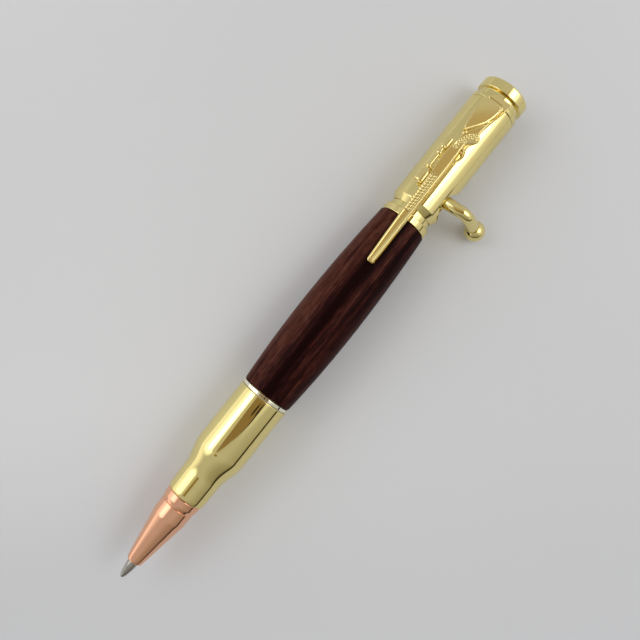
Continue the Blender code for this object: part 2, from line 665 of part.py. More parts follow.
def make_refill():
    """The refill: writing ball, nose with its socket, metal body with a step for the spring, and end plug."""
    ball_x = TIP + BALL_RADIUS
    socket = BALL_RADIUS + BALL_CLEARANCE
    lip_x = TIP + BALL_SHOWING
    lip_angle = math.acos((ball_x - lip_x) / socket)
    nose_outline = []
    for step in range(SOCKET_POINTS + 1):
        angle = math.pi - (math.pi - lip_angle) * step / SOCKET_POINTS
        radius = 0 if step == 0 else socket * math.sin(angle)
        nose_outline.append((ball_x - socket * math.cos(angle), radius))
    shoulder = TIP + REFILL_SHOULDER_DISTANCE
    taper_back = shoulder + REFILL_TAPER_LENGTH
    spigot_back = shoulder + REFILL_SPIGOT_LENGTH
    nose_outline += [
        (lip_x, NOSE_LIP_RADIUS),
        (TIP + NOSE_HALF_DISTANCE, NOSE_HALF_RADIUS),
        (TIP + NOSE_CONE_DISTANCE, NOSE_CONE_RADIUS),
        (NIB_FRONT - SEAM, NOSE_RADIUS),
        (TIP + NOSE_LENGTH, NOSE_RADIUS),
        (TIP + NOSE_LENGTH, NECK_RADIUS),
        (shoulder - SEAM, NECK_RADIUS),
        (shoulder - SEAM, REFILL_SPIGOT_RADIUS),
        (spigot_back, REFILL_SPIGOT_RADIUS),
        (spigot_back, 0),
    ]
    nose = turned("refill_nose", nose_outline, INNER_STEPS)
    ball_outline = [
        (ball_x - BALL_RADIUS * math.cos(math.pi * step / BALL_STEPS),
         0 if step in (0, BALL_STEPS) else BALL_RADIUS * math.sin(math.pi * step / BALL_STEPS))
        for step in range(BALL_STEPS + 1)
    ]
    ball = turned("writing_ball", ball_outline, INNER_STEPS)
    bore = REFILL_RADIUS - REFILL_WALL
    plug_front = TIP + REFILL_LENGTH - END_PLUG_LENGTH
    body = turned("refill_body", [
        (shoulder, REFILL_SPIGOT_RADIUS + FIT),
        (shoulder, REFILL_SHOULDER_RADIUS),
        (taper_back, REFILL_RADIUS),
        (plug_front - SEAM, REFILL_RADIUS),
        (plug_front - SEAM, bore),
        (taper_back + REFILL_WALL, bore),
        (taper_back, REFILL_SPIGOT_RADIUS + FIT),
    ], INNER_STEPS)
    plug_back = TIP + REFILL_LENGTH
    plug = turned("refill_end_plug", [
        (plug_front - END_PLUG_STEM_LENGTH, 0),
        (plug_front - END_PLUG_STEM_LENGTH, bore - FIT),
        (plug_front, bore - FIT),
        (plug_front, END_PLUG_RADIUS),
        (plug_back, END_PLUG_RADIUS),
        (plug_back, 0),
    ], INNER_STEPS)
    for index in range(END_NOTCHES):
        boolean(plug, notch_cutter(f"end_notch_cutter_{index}", plug_back, math.pi * index / END_NOTCHES))
    return [
        as_piece(nose, STEEL), as_piece(ball, CARBIDE), as_piece(body, BRASS), as_piece(plug, PLASTIC),
    ]


def notch_cutter(name, back, angle):
    """A bar across the end of the refill that cuts two of its notches."""
    shape = bmesh.new()
    bmesh.ops.create_cube(shape, size=1)
    reach = 2 * (END_PLUG_RADIUS + OVERRUN)
    size = (2 * END_NOTCH_DEPTH, END_NOTCH_WIDTH, reach)
    bmesh.ops.scale(shape, vec=size, verts=shape.verts)
    bmesh.ops.transform(
        shape, matrix=Matrix.Translation((back, 0, 0)) @ Matrix.Rotation(angle, 4, "X"), verts=shape.verts
    )
    mesh = bpy.data.meshes.new(name)
    shape.to_mesh(mesh)
    shape.free()
    cutter = bpy.data.objects.new(name, mesh)
    PEN.objects.link(cutter)
    return as_cutter(cutter)


def least_gap(points, per_turn):
    """The least distance between the wire's surfaces on two different turns."""
    gap = math.inf
    for i, here in enumerate(points):
        for there in points[i + per_turn // 2 + 1:]:
            gap = min(gap, (here - there).length)
    return gap - 2 * SPRING_WIRE_RADIUS


def make_spring():
    """The return spring, between the step inside the nib and the step on the refill."""
    front = NIB_FRONT + NIB_MOUTH_LENGTH + REST + SPRING_WIRE_RADIUS
    back = TIP + REFILL_SHOULDER_DISTANCE - REST - SPRING_WIRE_RADIUS
    count = SPRING_TURNS * SPRING_POINTS_PER_TURN
    points = []
    for step in range(count + 1):
        angle = math.tau * step / SPRING_POINTS_PER_TURN
        x = front + (back - front) * step / count
        points.append(Vector((x, SPRING_RADIUS * math.cos(angle), SPRING_RADIUS * math.sin(angle))))
    print("return spring, least gap in mm:", round(least_gap(points, SPRING_POINTS_PER_TURN) / MM, 3))
    return as_piece(tube("return_spring", points, SPRING_WIRE_RADIUS, resolution=1), STEEL)


def make_bolt(handle_x):
    """The cup that holds the refill's end, the plunger and its bent handle with a ball knob."""
    floor = TIP + REFILL_LENGTH + SEAM
    cup_back = floor + CUP_FLOOR
    cup_front = TIP + REFILL_LENGTH - CUP_RECESS_DEPTH
    recess = END_PLUG_RADIUS + FIT
    cup = turned("thrust_cup", [
        (floor, 0), (floor, recess), (cup_front, recess), (cup_front, CUP_RADIUS), (cup_back, CUP_RADIUS),
        (cup_back, 0),
    ], INNER_STEPS)
    body_front = HOUSING_FRONT + UPPER_THREAD_LENGTH + REST
    plunger = turned("bolt_plunger", [
        (cup_back + SEAM, 0),
        (cup_back + SEAM, CUP_RADIUS),
        (body_front, CUP_RADIUS),
        (body_front, HOUSING_BORE - FIT),
        (body_front + PLUNGER_LENGTH, HOUSING_BORE - FIT),
        (body_front + PLUNGER_LENGTH, 0),
    ])
    root_inner = HOUSING_BORE - FIT - HANDLE_ROOT_DEPTH
    hole = radial_rod(
        "handle_hole_cutter", handle_x, HANDLE_ANGLE, root_inner - FIT, HOUSING_RADIUS,
        HANDLE_ROOT_RADIUS + FIT, INNER_STEPS,
    )
    boolean(plunger, as_cutter(hole))
    return [as_piece(cup, PLASTIC), as_piece(plunger, GOLD), make_handle(handle_x, root_inner)]


def make_handle(handle_x, root_inner):
    """The bolt handle: a root in the plunger, a rod that arches over and a ball knob at its end."""
    outwards = Vector((0, -math.cos(HANDLE_ANGLE), math.sin(HANDLE_ANGLE)))
    rod_start = HOUSING_RADIUS + HANDLE_STAND_OFF
    knob = Vector((0, -HANDLE_SWEEP_RADIUS, -KNOB_DROP))
    bends = [Vector((0, -out * HANDLE_SWEEP_RADIUS, up * HANDLE_SWEEP_RADIUS)) for out, up in HANDLE_BEND_SHARES]
    points = smooth_route([outwards * rod_start] + bends + [knob], HANDLE_STEPS_PER_STRETCH)
    handle = tube("bolt_handle", [p + Vector((handle_x, 0, 0)) for p in points], HANDLE_RADIUS, resolution=3)
    root = radial_rod(
        "handle_root", handle_x, HANDLE_ANGLE, root_inner, rod_start + HANDLE_RADIUS, HANDLE_ROOT_RADIUS,
        INNER_STEPS,
    )
    boolean(handle, as_cutter(root), "UNION")
    shape = bmesh.new()
    bmesh.ops.create_uvsphere(shape, u_segments=KNOB_SEGMENTS, v_segments=KNOB_RINGS, radius=KNOB_RADIUS)
    bmesh.ops.translate(shape, vec=knob + Vector((handle_x, 0, 0)), verts=shape.verts)
    mesh = bpy.data.meshes.new("handle_knob")
    shape.to_mesh(mesh)
    shape.free()
    ball = bpy.data.objects.new("handle_knob", mesh)
    PEN.objects.link(ball)
    boolean(handle, as_cutter(ball), "UNION")
    return as_piece(handle, GOLD)


def clip_place(along, across):
    """A place on the clip, seen from above, from its two shares."""
    return CLIP_BACK - along * CLIP_LENGTH, across * CLIP_WIDTH


def clip_height(along):
    """The radius of the clip's underside at a share of its length: it rises to pass over the wood's swell."""
    back_radius = HOUSING_RADIUS + REST
    muzzle = CLIP_BACK - CLIP_LENGTH
    tail = WOOD_BACK - WOOD_FRONT - WOOD_SWELL_DISTANCE
    share = (muzzle - WOOD_FRONT - WOOD_SWELL_DISTANCE) / tail
    muzzle_radius = WOOD_SWELL_RADIUS - MUZZLE_SWELL * share**2 + REST
    return back_radius + (muzzle_radius - back_radius) * along


def clip_band(name, low, high):
    """A thin cone about the pen's axis between two levels over the clip's underside."""
    reach = OVERRUN / CLIP_LENGTH
    front, _ = clip_place(1 + reach, 0)
    back, _ = clip_place(-reach, 0)
    outline = [
        (front, clip_height(1 + reach) + low), (front, clip_height(1 + reach) + high),
        (back, clip_height(-reach) + high), (back, clip_height(-reach) + low),
    ]
    return as_cutter(turned(name, outline, CLIP_BAND_STEPS))


def clip_prism(name, shares):
    """An outline of the clip made thick enough to pass through its band."""
    top = clip_height(1) + CLIP_THICKNESS + OVERRUN
    return prism(name, [clip_place(along, across) for along, across in shares], 0, top)


def make_scope():
    """The scope on the clip: a bell, a tube with two rings and an eyepiece, turned about its own axis."""
    at = {name: clip_place(share, 0)[0] for name, share in SCOPE_STATION_SHARES.items()}
    ring = SCOPE_MOUNT_SHARE * CLIP_LENGTH
    outline = [
        (at["bell_front"], 0),
        (at["bell_front"], SCOPE_BELL_RADIUS),
        (at["bell_back"], SCOPE_BELL_RADIUS),
        (at["tube_front"], SCOPE_TUBE_RADIUS),
        (at["front_ring"] - ring, SCOPE_TUBE_RADIUS),
        (at["front_ring"] - ring, SCOPE_RING_RADIUS),
        (at["front_ring"] + ring, SCOPE_RING_RADIUS),
        (at["front_ring"] + ring, SCOPE_TUBE_RADIUS),
        (at["rear_ring"] - ring, SCOPE_TUBE_RADIUS),
        (at["rear_ring"] - ring, SCOPE_RING_RADIUS),
        (at["rear_ring"] + ring, SCOPE_RING_RADIUS),
        (at["rear_ring"] + ring, SCOPE_TUBE_RADIUS),
        (at["turret"] - ring, SCOPE_TUBE_RADIUS),
        (at["turret"] - ring, SCOPE_EYEPIECE_RADIUS),
        (at["turret"] + ring, SCOPE_EYEPIECE_RADIUS),
        (at["eyepiece_front"], SCOPE_TUBE_RADIUS),
        (at["eyepiece_front"] + ring, SCOPE_EYEPIECE_RADIUS),
        (at["eyepiece_back"], SCOPE_EYEPIECE_RADIUS),
        (at["eyepiece_back"], 0),
    ]
    scope = turned("scope", outline, SCOPE_STEPS)
    across = SCOPE_ACROSS_SHARE * CLIP_WIDTH
    distance = clip_height(SCOPE_STATION_SHARES["bell_front"]) + SCOPE_BELL_RADIUS
    scope.location.y += across
    scope.location.z += math.sqrt(distance**2 - across**2)
    return as_cutter(scope)


def make_clip():
    """The spring clip: a rifle in relief, bent round the pen, with its scope, trigger guard and cheek panel."""
    clip = clip_prism("clip", RIFLE_OUTLINE_SHARES)
    boolean(clip, guard_outline("guard", GUARD_RADIUS), "UNION")
    boolean(clip, guard_outline("guard_hole_cutter", GUARD_HOLE_RADIUS))
    for name in ("front_ring", "rear_ring"):
        centre = SCOPE_STATION_SHARES[name]
        low, high = SCOPE_ACROSS_SHARE / 2, SCOPE_ACROSS_SHARE
        front, back = centre + SCOPE_MOUNT_SHARE, centre - SCOPE_MOUNT_SHARE
        corners = ((back, low), (back, high), (front, high), (front, low))
        boolean(clip, as_cutter(clip_prism(f"{name}_mount", corners)), "UNION")
    boolean(clip, clip_band("clip_band", 0, CLIP_THICKNESS), "INTERSECT")
    boolean(clip, make_scope(), "UNION")
    relief = clip_band("relief_band", CLIP_THICKNESS - CLIP_RELIEF, CLIP_THICKNESS + OVERRUN)
    for name, shares in (("cheek_cutter", CHEEK_OUTLINE_SHARES), ("barrel_groove_cutter", BARREL_GROOVE_SHARES)):
        recess = as_cutter(clip_prism(name, shares))
        boolean(recess, relief, "INTERSECT")
        boolean(clip, recess)
    return as_piece(clip, DEEP_GOLD)


def guard_outline(name, radius):
    """A round of the trigger guard, seen from above, as a cutter or a shape to join."""
    x, y = clip_place(*GUARD_PLACE_SHARES)
    points = [
        (x + radius * math.cos(math.tau * step / GUARD_STEPS), y + radius * math.sin(math.tau * step / GUARD_STEPS))
        for step in range(GUARD_STEPS)
    ]
    return as_cutter(prism(name, points, 0, clip_height(1) + CLIP_THICKNESS + OVERRUN))


def carry(name, place, pieces):
    """An empty on a joint's axis that carries the pieces which move with it."""
    empty = bpy.data.objects.new(name, None)
    empty.location = place
    PEN.objects.link(empty)
    for piece in pieces:
        piece.parent = empty
        piece.location -= Vector(place)
    return empty


def build_pen():
    """Makes every piece and hangs the moving ones on their axes."""
    handle_x = HOUSING_FRONT + HANDLE_DISTANCE
    nib = make_nib()
    cartridge = make_cartridge()
    make_barrel()
    make_couplers()
    make_housing(handle_x)
    make_cap()
    nose, ball, body, end_plug = make_refill()
    spring = make_spring()
    cup, plunger, handle = make_bolt(handle_x)
    clip = make_clip()
    carry("front_axis", (CARTRIDGE_BACK, 0, 0), [nib, cartridge, spring])
    carry("slide_axis", (TIP + REFILL_LENGTH, 0, 0), [nose, ball, body, end_plug, cup])
    carry("bolt_axis", (handle_x, 0, 0), [plunger, handle])
    carry("clip_axis", (CLIP_BACK, 0, CLIP_HINGE_HEIGHT), [clip])


build_pen()
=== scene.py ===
"""A bolt-action ballpoint pen in its finishes: turned wood, polished gold and copper plate, and a clip cut
as a scoped rifle. Places along the pen are in millimetres from the writing tip; X runs from tip to cap.
"""

import math

import bmesh
import bpy
import numpy as np
from mathutils import Matrix, Vector


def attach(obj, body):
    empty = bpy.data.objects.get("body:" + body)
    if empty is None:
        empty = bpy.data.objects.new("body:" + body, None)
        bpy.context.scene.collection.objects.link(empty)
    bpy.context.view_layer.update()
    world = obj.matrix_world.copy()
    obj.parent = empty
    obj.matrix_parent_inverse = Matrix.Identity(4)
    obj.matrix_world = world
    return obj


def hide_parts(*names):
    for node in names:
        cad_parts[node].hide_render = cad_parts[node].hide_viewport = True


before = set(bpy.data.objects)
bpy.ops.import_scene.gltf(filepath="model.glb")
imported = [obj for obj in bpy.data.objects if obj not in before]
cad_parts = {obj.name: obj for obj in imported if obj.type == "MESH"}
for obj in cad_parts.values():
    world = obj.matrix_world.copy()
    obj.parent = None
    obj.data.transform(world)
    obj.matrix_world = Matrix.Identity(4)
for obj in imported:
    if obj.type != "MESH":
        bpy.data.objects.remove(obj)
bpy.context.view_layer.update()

MM = 0.001
ROUND = 160  # sides of a polished turned piece
SMOOTH = "SMOOTHSTEP"

# Places along the pen, in millimetres from the writing tip, and radii in millimetres
PEN_LENGTH = 139.8
NOSE_BACK = 23.15
SHELL_FRONT, SHELL_BACK = 23.25, 51.5
LOWER_RING_FRONT, LOWER_RING_BACK = 51.58, 52.45
WOOD_FRONT, SWELL_PLACE, WOOD_BACK = 52.62, 74.4, 101.75
SWELL_RADIUS = 6.98
UPPER_RING_BACK = 103.65
HOUSING_FRONT, HOUSING_BACK = 105.05, 134.25
HOUSING_RADIUS, HOUSING_BORE = 5.95, 4.8
CLIP_RING_FRONT, CLIP_RING_BACK = 134.35, 135.65

# The camera is close above the pen, which lies on its swell and on the cap's rim.
TABLE_TILT = math.radians(0.98)
PICTURE_ANGLE = math.radians(51.47)  # the pen's axis, above the picture's right
PICTURE_RIGHT = Vector((math.cos(PICTURE_ANGLE), -math.sin(PICTURE_ANGLE), 0))
PICTURE_UP = Vector((math.sin(PICTURE_ANGLE), math.cos(PICTURE_ANGLE), 0))
VIEW_PLACE, VIEW_ACROSS = 73.0, 0.97  # of the point below the camera
CAMERA_OVER = Vector(((VIEW_PLACE - PEN_LENGTH) * MM, VIEW_ACROSS * MM, 0))
CAMERA_HEIGHT = 0.160
TABLE_UP = Vector((-math.sin(TABLE_TILT), 0, math.cos(TABLE_TILT)))
FOOT = CAMERA_OVER + CAMERA_HEIGHT * TABLE_UP


# Finishes


class Value:
    """A number that varies over a surface. Sums of these become Math nodes."""

    def __init__(self, finish, socket):
        self.finish = finish
        self.socket = socket

    def _with(self, operation, first, second):
        sockets = {0: first, 1: second}
        node = self.finish.node("ShaderNodeMath", {"operation": operation}, sockets)
        return Value(self.finish, node.outputs[0])

    def __add__(self, other):
        return self._with("ADD", self, other)

    def __radd__(self, other):
        return self._with("ADD", other, self)

    def __sub__(self, other):
        return self._with("SUBTRACT", self, other)

    def __rsub__(self, other):
        return self._with("SUBTRACT", other, self)

    def __mul__(self, other):
        return self._with("MULTIPLY", self, other)

    def __rmul__(self, other):
        return self._with("MULTIPLY", other, self)

    def size(self):
        """The value without its sign."""
        return self._with("MAXIMUM", self, 0 - self)


class Nodes:
    """Nodes of one material or of the world."""

    def __init__(self, tree):
        self.tree = tree

    def node(self, kind, settings=None, sockets=None):
        """Any node: its settings first, ramp stops among them, then the values or links of its sockets."""
        made = self.tree.nodes.new(kind)
        for key, value in (settings or {}).items():
            if key == "stops":
                ramp = made.color_ramp
                while len(ramp.elements) < len(value):
                    ramp.elements.new(0.5)
                for stop, (place, colour) in zip(ramp.elements, value):
                    stop.position = place
                    stop.color = (*colour, 1)
            else:
                setattr(made, key, value)
        for key, value in (sockets or {}).items():
            self.feed(made.inputs[key], value)
        return made

    def feed(self, socket, value):
        if isinstance(value, Value):
            self.tree.links.new(value.socket, socket)
        elif isinstance(value, bpy.types.NodeSocket):
            self.tree.links.new(value, socket)
        else:
            socket.default_value = value

    def places(self, stretch=(1, 1, 1)):
        """Object places in millimetres, stretched along the axes."""
        where = self.node("ShaderNodeTexCoord").outputs["Object"]
        scale = tuple(1000 * s for s in stretch)
        return self.node("ShaderNodeMapping", None, {"Vector": where, "Scale": scale}).outputs[0]

    def parts(self, places):
        """The three numbers of a place."""
        node = self.node("ShaderNodeSeparateXYZ", None, {0: places})
        return [Value(self, socket) for socket in node.outputs]

    def noise(self, places, scale, detail=4.0, roughness=0.55, distortion=0.0):
        """Cloudy variation about 0.5. Scale is in cycles per stretched millimetre."""
        sockets = {
            "Vector": places, "Scale": scale, "Detail": detail, "Roughness": roughness,
            "Distortion": distortion,
        }
        return Value(self, self.node("ShaderNodeTexNoise", None, sockets).outputs["Fac"])

    def stops(self, value, stops):
        """A colour from a value, by the stops of a ramp."""
        return self.node("ShaderNodeValToRGB", {"stops": stops}, {"Fac": value}).outputs["Color"]

    def span(self, value, low, high, to_low=0.0, to_high=1.0, way="LINEAR"):
        """A value spread from one span onto another, held at its ends."""
        sockets = {0: value, 1: low, 2: high, 3: to_low, 4: to_high}
        return Value(self, self.node("ShaderNodeMapRange", {"interpolation_type": way}, sockets).outputs[0])

    def mixed(self, share, first, second):
        """A colour between two others."""
        return self.node("ShaderNodeMix", {"data_type": "RGBA"}, {0: share, 6: first, 7: second}).outputs[2]


class Finish(Nodes):
    """One procedural finish, built up on a Principled shader."""

    def __init__(self, name, **fixed):
        self.material = bpy.data.materials.new(name)
        self.material.use_nodes = True
        super().__init__(self.material.node_tree)
        self.shader = self.tree.nodes["Principled BSDF"]
        for socket, value in fixed.items():
            self.shader.inputs[socket.replace("_", " ")].default_value = value

    def attribute(self, name):
        node = self.node("ShaderNodeAttribute", {"attribute_name": name})
        return Value(self, node.outputs["Fac"])

    def set(self, **values):
        for socket, value in values.items():
            self.feed(self.shader.inputs[socket.replace("_", " ")], value)

    def bump(self, height, distance, strength=1.0):
        """Relief from a height that varies about a middle, in millimetres."""
        sockets = {"Height": height, "Distance": distance * MM, "Strength": strength}
        self.feed(self.shader.inputs["Normal"], self.node("ShaderNodeBump", None, sockets).outputs["Normal"])


def plated(name, colour, roughness=0.03, shade=0.95):
    """Polished plate: faint tone changes, fine polishing marks round the piece and soft smears."""
    finish = Finish(name, Metallic=1.0)
    broad = finish.noise(finish.places(), 0.11, 3)
    fine = finish.noise(finish.places((9, 0.6, 0.6)), 0.9, 3, 0.6)
    smear = finish.noise(finish.places((0.25, 1, 1)), 0.35, 5, 0.6, 0.6)
    darker = tuple(c * shade for c in colour)
    tone = finish.span(broad, 0.35, 0.65)
    finish.set(
        Base_Color=finish.mixed(tone, (*darker, 1), (*colour, 1)),
        Roughness=roughness + 0.03 * finish.span(smear, 0.45, 0.75) + 0.02 * fine,
    )
    finish.bump(fine, 0.0010, 0.3)
    return finish.material


def carved_plate(name, colour, hollow_shade_colour):
    """Gold plate on the cast clip: its hollows are rougher than its ridges, and they are painted a deeper
    tone as painted shade.
    """
    finish = Finish(name, Metallic=1.0)
    rise = finish.attribute("rise")
    grit = finish.noise(finish.places(), 3.2, 4, 0.6)
    broad = finish.noise(finish.places(), 0.3, 3)
    # Painted shade: the lower the relief, the more the colour goes to the deeper hollow tone; the ridges are
    # also smoother.
    ridge_light_and_polish = finish.span(rise + 0.25 * (grit - 0.5), 0.25, 0.85)
    tone = finish.mixed(ridge_light_and_polish, (*hollow_shade_colour, 1), (*colour, 1))
    redder = finish.mixed(0.12, tone, (0.9, 0.7, 0.4, 1))
    finish.set(
        Base_Color=finish.mixed(finish.span(broad, 0.4, 0.7), tone, redder),
        Roughness=finish.span(ridge_light_and_polish, 0, 1, 0.13, 0.07) + 0.04 * grit,
    )
    finish.bump(grit, 0.004, 0.4)
    return finish.material


def figured_wood(name):
    """Dark red-brown hardwood: a black heart streak, partly figure and partly painted dark reflection, bands
    and fine pores under a dull oiled surface, with one side paler, partly by painted sheen.
    """
    finish = Finish(name, IOR=1.45, Specular_IOR_Level=0.05)
    wander = finish.noise(finish.places((0.022, 0.12, 0.12)), 1.0, 3)
    bands = finish.noise(finish.places((0.014, 0.42, 0.42)), 1.0, 5, 0.6, 0.25)
    curl = finish.noise(finish.places((0.30, 0.55, 0.55)), 1.0, 3, 0.6, 0.8)
    fibre = finish.noise(finish.places((0.15, 2.6, 2.6)), 1.0, 4, 0.65)
    pores = finish.noise(finish.places((0.42, 4.6, 4.6)), 1.0, 2, 0.5)
    place, across, height = finish.parts(finish.places())
    swing = 3 * (wander - 0.5)

    def streak(middle, edge, core):
        """A wandering line along the wood, full within its core and gone at its edge."""
        return finish.span((across - middle + swing).size(), edge, core, way=SMOOTH)

    # The black streak along the top is partly the wood's figure and partly a painted dark reflection, so it
    # is held to the upper side.
    heart_and_dark_reflection = streak(0.2, 2.6, 0.8) * finish.span(height, 0, 3)
    line = streak(-4.1, 0.9, 0.3)
    pale_streak = streak(-2.3, 1.3, 0.5) * finish.span(place, -64, -48)
    # The +Y side is paler: partly the wood's own colour and partly a painted sheen from the left window.
    pale_side_and_sheen = finish.span(across, -1.2, 2.6, way=SMOOTH)
    figure = bands + 0.26 * (curl - 0.5) + 0.42 * (fibre - 0.5) + 0.16 * pale_side_and_sheen + 0.09 * pale_streak
    figure = figure - 0.17 * heart_and_dark_reflection - 0.03 * line - 0.07
    colour = finish.stops(figure, (
        (0.30, (0.009, 0.0016, 0.0016)),
        (0.40, (0.021, 0.0040, 0.0034)),
        (0.48, (0.043, 0.0092, 0.0068)),
        (0.57, (0.078, 0.0225, 0.0145)),
        (0.70, (0.115, 0.0420, 0.0270)),
    ))
    pore = finish.span(pores, 0.56, 0.68)
    colour = finish.mixed(0.6 * pore, colour, (0.011, 0.0025, 0.0022, 1))
    finish.set(Base_Color=colour, Roughness=0.42 + 0.2 * (fibre - 0.5) + 0.1 * pore)
    finish.bump(fibre - 0.6 * pore, 0.010, 0.5)
    return finish.material


def drawn_brass(name):
    """Plain brass of the inner pieces, with drawing lines along it and a little tarnish."""
    finish = Finish(name, Metallic=1.0)
    lines = finish.noise(finish.places((0.15, 6, 6)), 1.0, 3)
    stain = finish.noise(finish.places(), 0.5, 5, 0.65)
    tarnish = finish.span(stain, 0.5, 0.8)
    finish.set(
        Base_Color=finish.mixed(tarnish, (0.68, 0.50, 0.20, 1), (0.38, 0.25, 0.09, 1)),
        Roughness=0.26 + 0.2 * tarnish + 0.1 * lines,
    )
    finish.bump(lines, 0.006, 0.5)
    return finish.material


def turned_steel(name, colour, roughness):
    """Bright turned metal with fine rings from the tool."""
    finish = Finish(name, Metallic=1.0)
    rings = finish.noise(finish.places((14, 0.4, 0.4)), 1.0, 3)
    grey = tuple(c * 0.82 for c in colour)
    finish.set(
        Base_Color=finish.mixed(finish.span(rings, 0.35, 0.7), (*grey, 1), (*colour, 1)),
        Roughness=roughness + 0.12 * rings,
    )
    finish.bump(rings, 0.002, 0.5)
    return finish.material


def moulded(name, colour):
    """Moulded plastic with a fine spark-eroded grain."""
    finish = Finish(name, IOR=1.5)
    grain = finish.noise(finish.places(), 7.0, 3)
    broad = finish.noise(finish.places(), 0.7, 2)
    lighter = tuple(min(1, c * 1.6 + 0.01) for c in colour)
    finish.set(
        Base_Color=finish.mixed(finish.span(broad, 0.3, 0.8), (*colour, 1), (*lighter, 1)),
        Roughness=0.42 + 0.16 * grain,
    )
    finish.bump(grain, 0.01, 0.4)
    return finish.material


def table_top(name):
    """The pale surface that the pen lies on, with painted shade that makes it a little darker to the
    picture's right and bottom.
    """
    finish = Finish(name, Roughness=0.6)
    cloud = finish.noise(finish.places((0.01, 0.01, 0.01)), 0.6, 2)
    place, across, _ = finish.parts(finish.places())
    place, across = place - CAMERA_OVER.x / MM, across - CAMERA_OVER.y / MM
    right = PICTURE_RIGHT.x * place + PICTURE_RIGHT.y * across
    up = PICTURE_UP.x * place + PICTURE_UP.y * across
    # Painted shade: the table's colour darkens towards the picture's right and bottom, in place of less
    # light falling there.
    right_painted_shade = finish.span(right, -70, 70, way=SMOOTH)
    low_painted_shade = finish.span(up, -15, -75, way=SMOOTH)
    right_tone, low_tone = 0.825, 0.80
    light = (1 - (1 - right_tone) * right_painted_shade) * (1 - low_painted_shade) + low_tone * low_painted_shade
    tone = finish.mixed(cloud, (0.828, 0.854, 0.893, 1), (0.842, 0.868, 0.908, 1))
    finish.set(Base_Color=finish.mixed(light, (0, 0, 0, 1), tone))
    return finish.material


GOLD = plated("gold_plate", (0.86, 0.73, 0.31))
PALE_GOLD = plated("pale_gold_plate", (0.95, 0.92, 0.74))
COPPER = plated("copper_plate", (0.93, 0.50, 0.31), 0.08)
# The second colour is the painted shade tone of the clip's hollows.
CLIP_GOLD = carved_plate("clip_gold", (0.87, 0.73, 0.31), (0.72, 0.55, 0.18))
WOOD = figured_wood("figured_wood")
BRASS = drawn_brass("inner_brass")
NICKEL = turned_steel("nickel_silver", (0.44, 0.42, 0.38), 0.07)
SPRING_STEEL = turned_steel("spring_steel", (0.50, 0.50, 0.50), 0.22)
CARBIDE = turned_steel("ball_metal", (0.20, 0.20, 0.21), 0.12)
BLACK_PLASTIC = moulded("black_plastic", (0.02, 0.02, 0.022))
DARK_PLASTIC = moulded("dark_plug_plastic", (0.03, 0.03, 0.034))


# Shaping


def along(place):
    """A place in millimetres from the tip, as X in metres."""
    return (place - PEN_LENGTH) * MM


def linked(name, shape):
    """An object of a bmesh, put into the scene."""
    mesh = bpy.data.meshes.new(name)
    shape.to_mesh(mesh)
    shape.free()
    made = bpy.data.objects.new(name, mesh)
    bpy.context.scene.collection.objects.link(made)
    return made


def finished(name, shape, material, body, node, crease=40.0):
    """Makes a piece from its bmesh, with its finish, and hangs it on its body in a node's place."""
    piece = linked(name, shape)
    piece.data.materials.append(material)
    piece.data.shade_smooth()
    piece.data.set_sharp_from_angle(angle=math.radians(crease))
    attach(piece, body)
    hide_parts(node)
    return piece


def profile(shape, points, closed):
    """A wire in the XZ plane through (place, radius) points. A third number rounds that corner."""
    corners = [shape.verts.new((along(point[0]), 0, point[1] * MM)) for point in points]
    pairs = list(zip(corners, corners[1:]))
    if closed:
        pairs.append((corners[-1], corners[0]))
    for first, second in pairs:
        shape.edges.new((first, second))
    for corner, point in zip(corners, points):
        if len(point) > 2:
            bmesh.ops.bevel(
                shape, geom=[corner], offset=point[2] * MM, offset_type="OFFSET", segments=4, profile=0.5,
                affect="VERTICES", material=-1,
            )
    # A point close to each end of a long stretch keeps the shine on it straight.
    hold = 0.05 * MM
    for edge in list(shape.edges):
        length = edge.calc_length()
        if length > 6 * hold:
            start, end = edge.verts
            _, near = bmesh.utils.edge_split(edge, start, hold / length)
            far = next(e for e in near.link_edges if end in e.verts)
            bmesh.utils.edge_split(far, end, hold / far.calc_length())


def turned_shape(points, closed=True, sides=ROUND):
    """A shape turned round the pen's axis."""
    shape = bmesh.new()
    profile(shape, points, closed)
    bmesh.ops.spin(
        shape, geom=shape.verts[:] + shape.edges[:], cent=(0, 0, 0), axis=(1, 0, 0), angle=math.tau,
        steps=sides, use_merge=True, use_duplicate=False,
    )
    bmesh.ops.remove_doubles(shape, verts=shape.verts, dist=0.0005 * MM)
    bmesh.ops.recalc_face_normals(shape, faces=shape.faces)
    return shape


def turned(name, points, material, body, node, closed=True, sides=ROUND):
    """A turned piece in a node's place."""
    return finished(name, turned_shape(points, closed, sides), material, body, node)


def eased(share):
    """A share of a way, slow at both ends."""
    return share * share * (3 - 2 * share)


def flowing(points, steps):
    """Points on a smooth line through the given ones."""
    points = [Vector(p) for p in points]
    ends = [2 * points[0] - points[1]] + points + [2 * points[-1] - points[-2]]
    line = []
    for before, start, end, after in zip(ends, ends[1:], ends[2:], ends[3:]):
        for step in range(steps):
            t = step / steps
            line.append(0.5 * (
                2 * start + (end - before) * t + (2 * before - 5 * start + 4 * end - after) * t**2
                + (3 * start - before - 3 * end + after) * t**3
            ))
    return line + [points[-1]]


# Turned pieces


